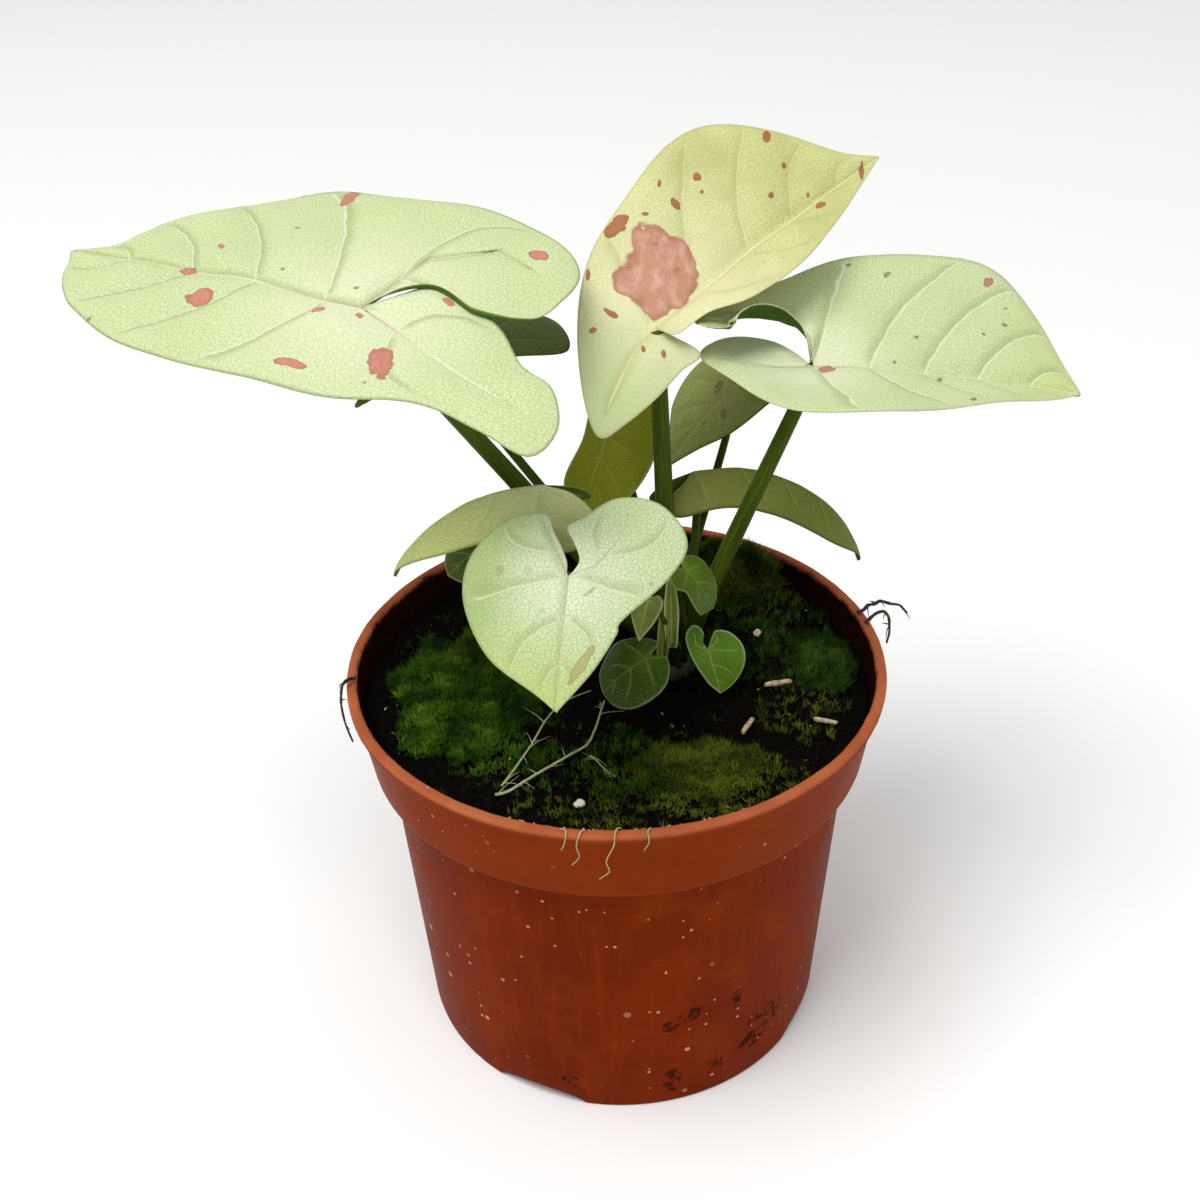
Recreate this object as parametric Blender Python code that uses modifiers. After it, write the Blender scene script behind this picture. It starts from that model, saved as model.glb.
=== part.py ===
# Potted syngonium: a young arrowhead plant with cream, mint and pink leaves in a 12 cm nursery pot.
# Metres, +Z up. The origin is the centre of the pot's foot; -Y is the front of the plant.

from math import atan2, cos, exp, hypot, pi, radians, sin, tan

import bmesh
import bpy
import numpy as np
from mathutils import Matrix, Vector

MM = 0.001
GAP = 0.3  # millimetres between two pieces that rest on each other

# Driving dimensions of the pot, in millimetres
RIM_RADIUS = 60.0
POT_HEIGHT = 93.4
LIP_HEIGHT = 2.2
COLLAR_RADIUS = 56.1
COLLAR_BOTTOM = 73.4
SHOULDER_RADIUS = 52.4
FOOT_RADIUS = 47.7
WALL = 1.2
FLOOR_HEIGHT = 3.6
PAD_RADIUS = 10.0
NOTCH_COUNT = 4
NOTCH_WIDTH = 22.0
NOTCH_HEIGHT = 3.2
FIRST_NOTCH = 65.5  # degrees from +X
DRAIN_COUNT = 6
DRAIN_RADIUS = 3.5
DRAIN_RING = 27.0
POT_STEPS = 56

# The soil's level, its lumps, and the crown where every stalk leaves it
SOIL_LEVEL = 87.2
SOIL_EDGE_DROP = 1.0
SOIL_EDGE_WIDTH = 8.0
SOIL_RINGS = 9
LUMP_HEIGHT = 0.8
BACK_RISE = 2.0
BACK_RISE_AT = (26.0, 34.0)
BACK_RISE_SPREAD = 31.6
LEVEL_SPREAD = 17.3
CROWN = (12.0, 5.0)
CROWN_RADIUS = 8.6
CROWN_HEIGHT = 6.4

# Leaves and stalks
BLADE_THICKNESS = 0.7
FOOT_SHARE = 1.0  # a stalk's width at the crown, of its nominal width
TOP_SHARE = 0.85  # and its width under the blade
STALK_RISE = 1.5  # how far a stalk goes straight up before it leans
SMALL_LEAF = 15.0  # leaves up to this length have fewer veins
MIDRIB_VEINS = 9
LOBE_VEINS = 12
VEIN_SLANT = 0.3
LOBE_VEIN_SHARE = 0.8  # how far a lobe's own vein goes towards its tip
LEAST_LOBE = 2.0  # a half that reaches back less than this has no lobe vein
NOTCH = (-1.2, 0.12)  # where each lobe ends, just behind the stalk

PARTS = "potted_syngonium"
CUTTERS = "cutters"

# A leaf stands in its own frame: its stalk meets the blade at the frame's origin, the midrib runs
# along X to the tip, and the edge lists run from tip to lobe to notch as (forward, sideways) in
# millimetres. Angles are in degrees. "fold" lifts each half at the midrib, "cup" curves it on towards
# its edge, "droop" bends the midrib down, and "lobe_drop" does the same for the two lobes. "lobe_veins"
# gives the bends of the vein from the stalk to each lobe's end, and "notches" where the lobes' edges end.
LEAVES = {
    "leaf_left_big": dict(
        at=(-48, 0, 177.5), heading=153.5, pitch=4, roll=-18, length=75,
        left=[(70, 10), (63, 17), (44, 23), (20, 24), (-3, 23), (-23, 18), (-36, 19), (-47, 20),
              (-49, 12), (-44, 4.5), (-36.5, 2), (-28, -2.2), (-18, -5.8), (-10.5, -8.2)],
        right=[(63, 11), (49, 23), (29, 37), (-6, 41), (-25, 35), (-34, 28), (-35, 17), (-33, 9),
               (-24, 7), (-11, 10)],
        notches=((-1, -0.9), (-0.75, 0.85)),
        lobe_veins=([(-25, 8)], [(-4.5, 18), (-15, 26.5)]),
        fold=(0, 0), cup=(-10, -14), droop=8, lobe_drop=(10, 12), twist=3,
        stalk=4.0, foot=(-4.6, 0.2), grip=5, seat=0.65),
    "leaf_top_pink": dict(
        at=(10, 13, 166.5), heading=35, pitch=24, roll=28, length=67,
        left=[(60, 6), (51, 17), (38, 26), (26, 28), (11, 24), (-1, 20), (-11, 12), (-21, 0),
              (-25, -8), (-14, -10), (-5, -8)],
        right=[(56, 4), (31, 14), (17, 13), (9, 7), (1, 6)],
        notches=((-0.5, -1.0), (-0.4, 1.1)),
        lobe_veins=([(-8, -1)], []),
        fold=(16, 26), cup=(6, 22), droop=10, lobe_drop=(22, 10), twist=1,
        stalk=4.0, foot=(0.4, 1.2), grip=6, seat=1.2),
    "leaf_right_mint": dict(
        at=(42, 8, 159), heading=0, pitch=-3, roll=17, length=57,
        left=[(51, 18), (42, 31), (28, 34), (10, 31), (-6, 24), (-20, 15), (-24, 5), (-18.5, 7),
              (-12, 12), (-4, 9)],
        right=[(50, 4), (35, 12), (16, 21), (2, 24), (-9, 21), (-18, 7), (-23, -5), (-20, -12),
               (-13, -15), (-5, -6)],
        notches=((-0.5, 1.0), (-0.7, -0.85)),
        lobe_veins=([(-3, 11), (-6.5, 13.5), (-12.5, 15.5)], [(-8, 0)]),
        fold=(8, 20), cup=(0, 0), droop=11, lobe_drop=(-20, 0), twist=1,
        stalk=3.7, foot=(5.0, -0.2), grip=4, seat=0.5),
    "leaf_front_heart": dict(
        at=(-8.7, -33, 135.6), heading=-97, pitch=-30, roll=0, length=27,
        left=[(19, 6.3), (11.5, 10.2), (8.5, 11), (-1, 19), (-10, 22.3), (-18.5, 16.5), (-19.5, 8),
              (-14, 1.6), (-11.3, -1.4), (-7.7, 0.2), (-3.8, 1.8)],
        right=[(24, 4), (17, 14), (6, 20), (-4, 20), (-12.5, 14.5), (-14.6, 9), (-14, 5.6),
               (-10.2, 4), (-6.3, 1.9), (-2.9, 0.5)],
        notches=((-0.9, 0.2), (-0.9, 0.1)),
        lobe_veins=([(-2.5, 5), (-9, 9)], []),
        fold=(0, 0), cup=(-10, -10), droop=17, lobe_drop=(11, 12), twist=0,
        stalk=2.2, foot=(-1.0, -3.4), grip=6),
    "leaf_left_arch": dict(
        at=(-14.4, -9.2, 142.4), heading=185, pitch=3, roll=0, length=39,
        left=[(26, 7), (14, 10), (1, 14), (-8, 13), (-12, 7), (-7, 2)],
        right=[(27, 6), (15, 12), (2, 15), (-7, 13), (-12, 8), (-7, 2)],
        fold=(-40, -40), cup=(-10, -10), droop=68, lobe_drop=(10, 10), twist=0,
        stalk=2.0, foot=(-4.4, -4.2), grip=6),
    "leaf_upright": dict(
        at=(-0.7, 24, 136.2), heading=224, pitch=-61, roll=0, length=20.5,
        left=[(17, 5), (10, 10), (1, 12), (-7, 11), (-12, 6), (-7, 2)],
        right=[(18, 3), (12, 6), (2, 5), (-7, 6), (-12, 4), (-7, 1)],
        fold=(-12, 30), cup=(-20, 45), droop=0, lobe_drop=(10, 10), twist=0,
        stalk=2.0, foot=(-1.0, 5.4), grip=6),
    "leaf_back": dict(
        at=(28.4, 42, 139), heading=216, pitch=-32, roll=0, length=25.5,
        left=[(17, 5), (10, 9), (1, 11), (-8, 12), (-13, 7), (-7, 2)],
        right=[(17, 6), (10, 12), (1, 15), (-8, 13), (-13, 8), (-7, 2)],
        fold=(0, 0), cup=(-10, -10), droop=8, lobe_drop=(10, 10), twist=0,
        stalk=2.0, foot=(1.8, 6.8), grip=6, seat=0.3),
    "leaf_right_arch": dict(
        at=(18.5, 19, 129.4), heading=4, pitch=9, roll=0, length=51,
        left=[(29, 5), (16, 11), (2, 13), (-7, 11), (-12, 6), (-7, 2)],
        right=[(39, 7), (20, 9), (4, 9), (-6, 9), (-9, 6), (-3, 2)],
        fold=(-60, -45), cup=(-10, -10), droop=85, lobe_drop=(10, 10), twist=0,
        stalk=2.0, foot=(4.9, 3.8), grip=6),
    "leaf_under_left": dict(
        at=(-33.2, 15, 157.2), heading=188, pitch=-8, roll=-8, length=22,
        left=[(16, 1), (7, 4), (-1, 7), (-11, 7), (-16, 5), (-9, 1.5)],
        right=[(17, 7), (8, 13), (-1, 17), (-14, 19), (-24, 12), (-25, 1), (-13, 0.8)],
        lobe_veins=([], [(-11, 7)]),
        fold=(0, 3), cup=(-10, -6), droop=20, lobe_drop=(9, 11), twist=3,
        stalk=2.2, foot=(-4.4, 4.2), grip=6),
    "leaf_small_olive": dict(
        at=(15.6, -2, 116.6), heading=-25, pitch=-42, roll=0, length=10.2,
        left=[(9.3, 3), (5.8, 6), (1.1, 6.4), (-1.8, 4.2), (-2.2, 1.4)],
        right=[(9.2, 3.5), (8.4, 5.6), (5.8, 6.2), (2.6, 5.6), (0.4, 7.4), (-1.8, 6.2), (-2.4, 2.2)],
        fold=(8, 8), cup=(-10, -10), droop=20, lobe_drop=(10, 10), twist=0,
        stalk=1.2, foot=(3.4, -4.4), grip=3),
    "leaf_small_notched": dict(
        at=(20.2, -5.8, 98.5), heading=-66, pitch=-46, roll=6, length=9.9,
        left=[(8.5, 3.6), (5.1, 7), (1.1, 7.8), (-2.4, 5.9), (-3.7, 3.2), (-2.8, 1.9)],
        right=[(6.5, 2.4), (0.9, 4.2), (-4, 4.2), (-6.1, 2.2), (-5.8, 0.6), (-4, -0.3), (-1.9, 0.6)],
        notches=((-0.5, 0.25), (-0.6, 0.02)),
        lobe_veins=([(-1.2, 2.6)], [(-1.6, 2.4)]),
        fold=(10, 10), cup=(-10, -10), droop=15, lobe_drop=(-5, -5), twist=0,
        stalk=1.2, foot=(6.9, -3.0), grip=2.5),
    "leaf_small_round": dict(
        at=(6.4, -16, 104), heading=-157, pitch=-22, roll=-18, length=12,
        left=[(11.6, 4.2), (9.2, 7.1), (5.4, 8.3), (1.1, 8.1), (-2, 6.2), (-3.8, 2.4)],
        right=[(10.3, 4.2), (6.9, 7.1), (3.8, 8.5), (0.7, 7.5), (-2.4, 5), (-4.1, 1.9)],
        fold=(-3, -3), cup=(-16, -16), droop=24, lobe_drop=(12, 12), twist=0,
        stalk=1.3, foot=(-2.4, -7.0), grip=3),
    "leaf_small_pale": dict(
        at=(7.2, -14, 117.3), heading=-125, pitch=-58, roll=0, length=9, width=3.8, lobe=1.6,
        fold=(10, 10), cup=(0, 0), droop=10, lobe_drop=(0, 0), twist=0,
        stalk=1.1, foot=(2.0, -6.6), grip=3),
}

# Colours as (red, green, blue), linear
COLOURS = {
    "leaf_left_big": (0.62, 0.74, 0.40),
    "leaf_top_pink": (0.68, 0.74, 0.30),
    "leaf_right_mint": (0.60, 0.74, 0.42),
    "leaf_front_heart": (0.52, 0.68, 0.36),
    "leaf_left_arch": (0.42, 0.50, 0.20),
    "leaf_upright": (0.38, 0.42, 0.06),
    "leaf_back": (0.26, 0.30, 0.10),
    "leaf_right_arch": (0.22, 0.30, 0.07),
    "leaf_under_left": (0.09, 0.14, 0.04),
    "leaf_small_olive": (0.14, 0.22, 0.04),
    "leaf_small_notched": (0.20, 0.36, 0.08),
    "leaf_small_round": (0.08, 0.13, 0.04),
    "leaf_small_pale": (0.40, 0.50, 0.22),
    "stalk": (0.035, 0.085, 0.015),
    "crown": (0.06, 0.09, 0.02),
    "pot": (0.33, 0.065, 0.022),
    "soil": (0.010, 0.008, 0.006),
    "moss": (0.03, 0.07, 0.012),
    "wood_chip": (0.45, 0.32, 0.18),
    "perlite": (0.75, 0.74, 0.70),
    "root": (0.42, 0.40, 0.28),
    "dry_root": (0.02, 0.016, 0.012),
}

# Moss cushions as (x, y, half width, half depth, height), in millimetres
MOSS = {
    "moss_left": (-34, -6, 17, 27, 4.0),
    "moss_back": (25, 35.6, 16, 10.6, 12),
    "moss_front": (17, -34, 15, 9, 2.6),
    "moss_right": (47, 3, 7.5, 12, 2.6),
    "moss_back_left": (-20, 42, 14, 8, 3.0),
}

# Chips as (x, y, length, width, thickness, turn in degrees)
CHIPS = {
    "wood_chip_right": (36, -5, 6.0, 2.2, 1.1, 12),
    "wood_chip_edge": (45, -18, 5.0, 1.8, 1.0, -20),
    "wood_chip_front": (28, -20, 5.5, 2.0, 1.0, 62),
    "wood_chip_back": (-6, 28, 6.5, 2.4, 1.2, 35),
    "perlite_left": (-8, -44, 2.4, 1.9, 1.6, 25),
    "perlite_right": (33, 14, 2.2, 1.8, 1.5, 70),
}

# Roots that lie on the soil, as (x, y, height of the middle above the soil)
SURFACE_ROOTS = {
    "root_runner": dict(width=1.1, route=[(-25, -41.5, 0), (-21, -39.5, 0.4), (-14, -32.5, 0.9),
                                          (-6.5, -27, 1.2), (-4, -18, 0.8), (-2.8, -9.7, 0)]),
    "root_side": dict(width=0.8, route=[(-24, -38.8, 0.2), (-20.5, -30.6, 0.8), (-16, -20, 1),
                                        (-12.5, -11.8, 0.7), (-5.5, -5, 0)]),
    "root_fork": dict(width=0.7, route=[(-5.8, -29, 0.5), (-3.8, -31.6, 0.3), (-0.6, -36, 0)]),
}

# Dried roots that hang over the rim, as full points in millimetres
RIM_ROOTS = {
    "dry_root_right": dict(width=1.1, route=[(56, 13.8, 94.5), (58.6, 14.8, 95.6), (61.3, 15.2, 96.4),
                                             (65.9, 14.9, 95.2), (67.5, 14.7, 93.4)]),
    "dry_root_hook": dict(width=1.0, route=[(57.2, 9.6, 94.4), (61.5, 12.7, 95.4), (63.4, 12.2, 92),
                                            (62.8, 10.3, 88.5)]),
    "dry_root_left": dict(width=0.9, route=[(-57.4, -7, 94.3), (-59.9, -10.5, 94.5), (-59.5, -13.8, 91),
                                            (-57.8, -17.6, 85)]),
}


def clear_scene():
    for old in list(bpy.data.objects):
        bpy.data.objects.remove(old, do_unlink=True)


def new_collection(name):
    collection = bpy.data.collections.new(name)
    bpy.context.scene.collection.children.link(collection)
    return collection


def plain_material(name, colour, roughness=0.5):
    material = bpy.data.materials.get(name)
    if material is None:
        material = bpy.data.materials.new(name)
        material.use_nodes = True
        shader = material.node_tree.nodes["Principled BSDF"]
        shader.inputs["Base Color"].default_value = (*colour, 1.0)
        shader.inputs["Roughness"].default_value = roughness
    return material


def add_object(name, data, collection, colour, roughness=0.5):
    made = bpy.data.objects.new(name, data)
    collection.objects.link(made)
    data.materials.append(plain_material(f"{name}_finish", colour, roughness))
    return made


def mesh_from(shape, name):
    mesh = bpy.data.meshes.new(name)
    shape.to_mesh(mesh)
    shape.free()
    mesh.shade_smooth()
    return mesh


def smooth_points(points, steps):
    """Points along a smooth curve through the given ones, `steps` to a span."""
    first = 2 * points[0] - points[1]
    last = 2 * points[-1] - points[-2]
    padded = [first, *points, last]
    found = [points[0]]
    for before, start, end, after in zip(padded, padded[1:], padded[2:], padded[3:]):
        for step in range(1, steps + 1):
            t = step / steps
            found.append(0.5 * (2 * start + (end - before) * t
                                + (2 * before - 5 * start + 4 * end - after) * t * t
                                + (3 * start - before - 3 * end + after) * t ** 3))
    return found


def soil_height(x, y):
    """Height of the soil's top, in millimetres: gentle lumps, raised behind the plant, level at the crown."""
    from_rise = hypot(x - BACK_RISE_AT[0], y - BACK_RISE_AT[1]) / BACK_RISE_SPREAD
    from_crown = hypot(x - CROWN[0], y - CROWN[1]) / LEVEL_SPREAD
    waves = LUMP_HEIGHT * sin(0.19 * x + 0.4) * cos(0.16 * y)
    rise = BACK_RISE * exp(-2 * from_rise ** 2)
    return SOIL_LEVEL + (waves + rise) * (1 - exp(-from_crown ** 4))


def pot_outer():
    """The pot's outer side from lip to foot, as (radius, height)."""
    return [(RIM_RADIUS - 0.6, POT_HEIGHT), (RIM_RADIUS, POT_HEIGHT - 0.6),
            (RIM_RADIUS, POT_HEIGHT - LIP_HEIGHT), (RIM_RADIUS - 1.2, POT_HEIGHT - LIP_HEIGHT - 0.4),
            (COLLAR_RADIUS, COLLAR_BOTTOM + 0.6), (COLLAR_RADIUS - 0.6, COLLAR_BOTTOM),
            (SHOULDER_RADIUS, COLLAR_BOTTOM - 0.8), (FOOT_RADIUS, 0.0)]


def pot_inner():
    """The inner side from floor to lip, with the raised floor's outer corner first."""
    floor_top = FLOOR_HEIGHT + WALL
    slope = (SHOULDER_RADIUS - FOOT_RADIUS) / COLLAR_BOTTOM
    return [(FOOT_RADIUS - WALL + slope * floor_top, floor_top),
            (SHOULDER_RADIUS - WALL, COLLAR_BOTTOM + 0.6),
            (COLLAR_RADIUS - WALL, COLLAR_BOTTOM + 2.0),
            (RIM_RADIUS - 1.2 - WALL, POT_HEIGHT - LIP_HEIGHT),
            (RIM_RADIUS - 1.2 - WALL, POT_HEIGHT)]


def turned(name, profile, collection, colour, roughness, steps):
    """A body turned about Z from a profile of (radius, height) in millimetres that begins and ends on the axis."""
    shape = bmesh.new()
    points = [shape.verts.new((r * MM, 0.0, z * MM)) for r, z in profile]
    for a, b in zip(points, points[1:]):
        shape.edges.new((a, b))
    made = add_object(name, mesh_from(shape, name), collection, colour, roughness)
    screw = made.modifiers.new("turn", "SCREW")
    screw.axis = "Z"
    screw.steps = steps
    screw.render_steps = steps
    screw.use_merge_vertices = True
    screw.merge_threshold = 0.01 * MM
    return made


def add_cutter(name, shape, collection):
    cutter = bpy.data.objects.new(name, mesh_from(shape, name))
    collection.objects.link(cutter)
    cutter.hide_render = True
    cutter.display_type = "WIRE"
    return cutter


def cut(target, cutter):
    modifier = target.modifiers.new(cutter.name, "BOOLEAN")
    modifier.operation = "DIFFERENCE"
    modifier.object = cutter
    modifier.solver = "EXACT"


def notch_cutter(index, collection):
    """An arch through the foot ring, which lets water out sideways."""
    angle = radians(FIRST_NOTCH) + 2 * pi * index / NOTCH_COUNT
    shape = bmesh.new()
    bmesh.ops.create_cone(shape, cap_ends=True, segments=16, radius1=1, radius2=1, depth=1)
    bmesh.ops.rotate(shape, verts=shape.verts, matrix=Matrix.Rotation(pi / 2, 3, "Y"))
    bmesh.ops.scale(shape, verts=shape.verts, vec=(10 * MM, NOTCH_WIDTH / 2 * MM, NOTCH_HEIGHT * MM))
    bmesh.ops.translate(shape, verts=shape.verts, vec=((FOOT_RADIUS - 1) * MM, 0, 0))
    bmesh.ops.rotate(shape, verts=shape.verts, matrix=Matrix.Rotation(angle, 3, "Z"))
    return add_cutter(f"notch_{index}", shape, collection)


def drain_cutter(index, collection):
    angle = 2 * pi * index / DRAIN_COUNT
    shape = bmesh.new()
    bmesh.ops.create_cone(shape, cap_ends=True, segments=12, radius1=DRAIN_RADIUS * MM,
                          radius2=DRAIN_RADIUS * MM, depth=8 * MM)
    place = Vector((cos(angle), sin(angle), 0)) * DRAIN_RING * MM + Vector((0, 0, FLOOR_HEIGHT * MM))
    bmesh.ops.translate(shape, verts=shape.verts, vec=place)
    return add_cutter(f"drain_{index}", shape, collection)


def make_pot(parts, cutters):
    foot_inner = FOOT_RADIUS - WALL
    under = [(foot_inner, 0.0), (foot_inner, FLOOR_HEIGHT), (PAD_RADIUS + 1.5, FLOOR_HEIGHT),
             (PAD_RADIUS, 0.0), (0.0, 0.0)]
    inside = [(0.0, FLOOR_HEIGHT + WALL), *pot_inner()]
    profile = inside + pot_outer() + under
    pot = turned("pot", profile, parts, COLOURS["pot"], 0.42, POT_STEPS)
    for index in range(NOTCH_COUNT):
        cut(pot, notch_cutter(index, cutters))
    for index in range(DRAIN_COUNT):
        cut(pot, drain_cutter(index, cutters))


def make_soil(parts):
    """The potting mix: the pot's inside less a small gap, under a lumpy top."""
    sides = [(r - 1.5 * GAP, z) for r, z in pot_inner()]
    bottom_radius, bottom = sides[0][0], sides[0][1] + GAP
    (low_radius, low), (high_radius, high) = sides[2], sides[3]
    edge_level = SOIL_LEVEL - SOIL_EDGE_DROP
    top_radius = low_radius + (edge_level - low) / (high - low) * (high_radius - low_radius)
    top = [(top_radius * ring / SOIL_RINGS, SOIL_LEVEL) for ring in range(SOIL_RINGS + 1)]
    profile = [*top, (low_radius, low + 0.4), sides[1], (bottom_radius, bottom), (0.0, bottom)]
    shape = bmesh.new()
    line = [shape.verts.new((r * MM, 0.0, z * MM)) for r, z in profile]
    edges = [shape.edges.new(pair) for pair in zip(line, line[1:])]
    bmesh.ops.spin(shape, geom=line + edges, cent=(0, 0, 0), axis=(0, 0, 1), angle=2 * pi,
                   steps=POT_STEPS, use_merge=True)
    bmesh.ops.remove_doubles(shape, verts=shape.verts, dist=0.01 * MM)
    for point in shape.verts:
        if point.co.z > edge_level * MM:
            x, y = point.co.x / MM, point.co.y / MM
            inward = max(0.0, min(1.0, (top_radius - hypot(x, y)) / SOIL_EDGE_WIDTH))
            point.co.z = (edge_level + (soil_height(x, y) - edge_level) * inward) * MM
    bmesh.ops.recalc_face_normals(shape, faces=shape.faces)
    add_object("soil", mesh_from(shape, "soil"), parts, COLOURS["soil"], 0.95)


def make_crown(parts):
    """The short clump of sheathed leaf bases, level on top, that every stalk leaves."""
    sides = 16
    shape = bmesh.new()
    bmesh.ops.create_cone(shape, cap_ends=True, segments=sides, radius1=(CROWN_RADIUS + 1) * MM,
                          radius2=CROWN_RADIUS * MM, depth=CROWN_HEIGHT * MM)
    for point in shape.verts:
        turn = atan2(point.co.y, point.co.x)
        swell = 1 + 0.05 * cos(5 * turn)
        point.co.x *= swell
        point.co.y *= swell
    middle = SOIL_LEVEL + GAP + CROWN_HEIGHT / 2
    bmesh.ops.translate(shape, verts=shape.verts, vec=(CROWN[0] * MM, CROWN[1] * MM, middle * MM))
    add_object("crown", mesh_from(shape, "crown"), parts, COLOURS["crown"], 0.6)


def spread_evenly(points, count, share=1.0):
    """The first share of the line through the points, cut anew into `count` equal steps."""
    steps = [hypot(*(end - start)) for start, end in zip(points, points[1:])]
    along = np.concatenate([[0], np.cumsum(steps)])
    wanted = np.linspace(0, share * along[-1], count + 1)
    return np.stack([np.interp(wanted, along, [point[axis] for point in points]) for axis in (0, 1)], axis=1)


def edge_of(leaf, side):
    """A half's edge from tip to notch. A leaf without a list has an even heart-shaped edge."""
    inner = leaf.get(side)
    if inner is None:
        length, width, lobe = leaf["length"], leaf["width"], leaf["lobe"]
        inner = [(0.72 * length, 0.42 * width), (0.40 * length, 0.82 * width), (0.05 * length, width),
                 (-0.62 * lobe, 0.88 * width), (-lobe, 0.50 * width), (-0.55 * lobe, 0.14 * width)]
    notch = leaf.get("notches", (NOTCH, NOTCH))[side == "right"]
    points = [(leaf["length"], 0.0), *inner, notch]
    return smooth_points([np.array(point, float) for point in points], 4)


def vein_ends(leaf, side):
    """Where each vein starts and ends: those off the midrib, then those off the lobe's vein, out and back."""
    edge = edge_of(leaf, side)
    turn = next(index for index, point in enumerate(edge) if point[0] <= VEIN_SLANT * point[1])
    far = min(range(turn, len(edge)), key=lambda index: edge[index][0])
    midrib_veins, lobe_veins = (MIDRIB_VEINS, LOBE_VEINS) if leaf["length"] > SMALL_LEAF else (5, 6)
    ends = list(spread_evenly(edge[:turn + 1], midrib_veins))
    roots = [(leaf["length"] * (1 - index / midrib_veins), 0.0) for index in range(midrib_veins + 1)]
    if edge[far][0] > -LEAST_LOBE:
        ends += list(spread_evenly(edge[turn:], lobe_veins))[1:]
        roots += [(0.0, 0.0)] * lobe_veins
    else:
        bends = leaf.get("lobe_veins", ([], []))[side == "right"]
        route = [np.array(point, float) for point in ((0, 0), *bends, edge[far])]
        out = spread_evenly(route, lobe_veins // 2, LOBE_VEIN_SHARE)
        ends += list(spread_evenly(edge[turn:far + 1], lobe_veins // 2))[1:]
        ends += list(spread_evenly(edge[far:], lobe_veins // 2))[1:]
        roots += [*out[1:], *out[-2::-1]]
    return [(np.array(root), np.array(end)) for root, end in zip(roots, ends)]


def arc(start, curve, run):
    """Forward and upward travel along an arc that starts at an angle and turns by `curve` per millimetre."""
    if abs(curve) < 1e-6:
        return run * cos(start), run * sin(start)
    end = start + curve * run
    return (sin(end) - sin(start)) / curve, (cos(start) - cos(end)) / curve


def reach_of(leaf):
    """How far the blade goes sideways and how far its lobes go back."""
    edges = np.concatenate([edge_of(leaf, "left"), edge_of(leaf, "right")])
    return edges[:, 1].max(), -edges[:, 0].min()


def shaped(leaf, reach, forward, across, above, half):
    """A flat blade point bent into the leaf's standing form. `half` is 0 on the left, 1 on the right."""
    width, lobe = reach
    open_up = 1 - (max(0.0, forward) / leaf["length"]) ** 6
    side, lift = arc(radians(leaf["fold"][half]) * open_up, radians(leaf["cup"][half]) / width, across)
    if half:
        side = -side
    turn = radians(leaf["twist"]) * forward / leaf["length"]
    side, lift = side * cos(turn) - lift * sin(turn), side * sin(turn) + lift * cos(turn) + above
    if forward >= 0:
        bend, sign = -radians(leaf["droop"]) / leaf["length"], 1
    else:
        bend, sign = -radians(leaf["lobe_drop"][half]) / lobe, -1
    run, rise = arc(0, bend, abs(forward))
    angle = bend * abs(forward)
    return Vector((sign * (run - sin(angle) * lift), side, rise + cos(angle) * lift))


def standing(leaf):
    """The leaf frame's place on the plant, in millimetres."""
    turn = (Matrix.Rotation(radians(leaf["heading"]), 4, "Z")
            @ Matrix.Rotation(radians(-leaf["pitch"]), 4, "Y")
            @ Matrix.Rotation(radians(leaf["roll"]), 4, "X"))
    return Matrix.Translation(leaf["at"]) @ turn


def flat_half(shape, leaf, half, on_right):
    """Half of the flat blade between its veins, its points marked with the half they belong to."""
    rows = 4 if leaf["length"] > SMALL_LEAF else 3
    ends = vein_ends(leaf, ("left", "right")[half])
    columns = len(ends) - 1
    for point in bmesh.ops.create_grid(shape, x_segments=columns, y_segments=rows, size=1)["verts"]:
        root, end = ends[round((point.co.x + 1) / 2 * columns)]
        point.co.xy = root + (end - root) * (point.co.y + 1) / 2
        point[on_right] = half


def make_blade(name, leaf, parts):
    """The blade is laid out flat, made a thin slab, and then bent as one."""
    shape = bmesh.new()
    on_right = shape.verts.layers.int.new("on_right")
    for half in (0, 1):
        flat_half(shape, leaf, half, on_right)
    for point in shape.verts:
        point.co.z = -0.5 * BLADE_THICKNESS
        point.co.y *= -1 if point[on_right] else 1
    bmesh.ops.remove_doubles(shape, verts=shape.verts, dist=0.05)
    raised = bmesh.ops.extrude_face_region(shape, geom=shape.faces[:])["geom"]
    top = [item for item in raised if isinstance(item, bmesh.types.BMVert)]
    bmesh.ops.translate(shape, verts=top, vec=(0, 0, BLADE_THICKNESS))
    place, reach = standing(leaf), reach_of(leaf)
    for point in shape.verts:
        half = point[on_right]
        across = -point.co.y if half else point.co.y
        point.co = place @ shaped(leaf, reach, point.co.x, across, point.co.z, half) * MM
    bmesh.ops.recalc_face_normals(shape, faces=shape.faces)
    if shape.calc_volume(signed=True) < 0:
        bmesh.ops.reverse_faces(shape, faces=shape.faces)
    add_object(name, mesh_from(shape, name), parts, COLOURS[name], 0.4)


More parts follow.
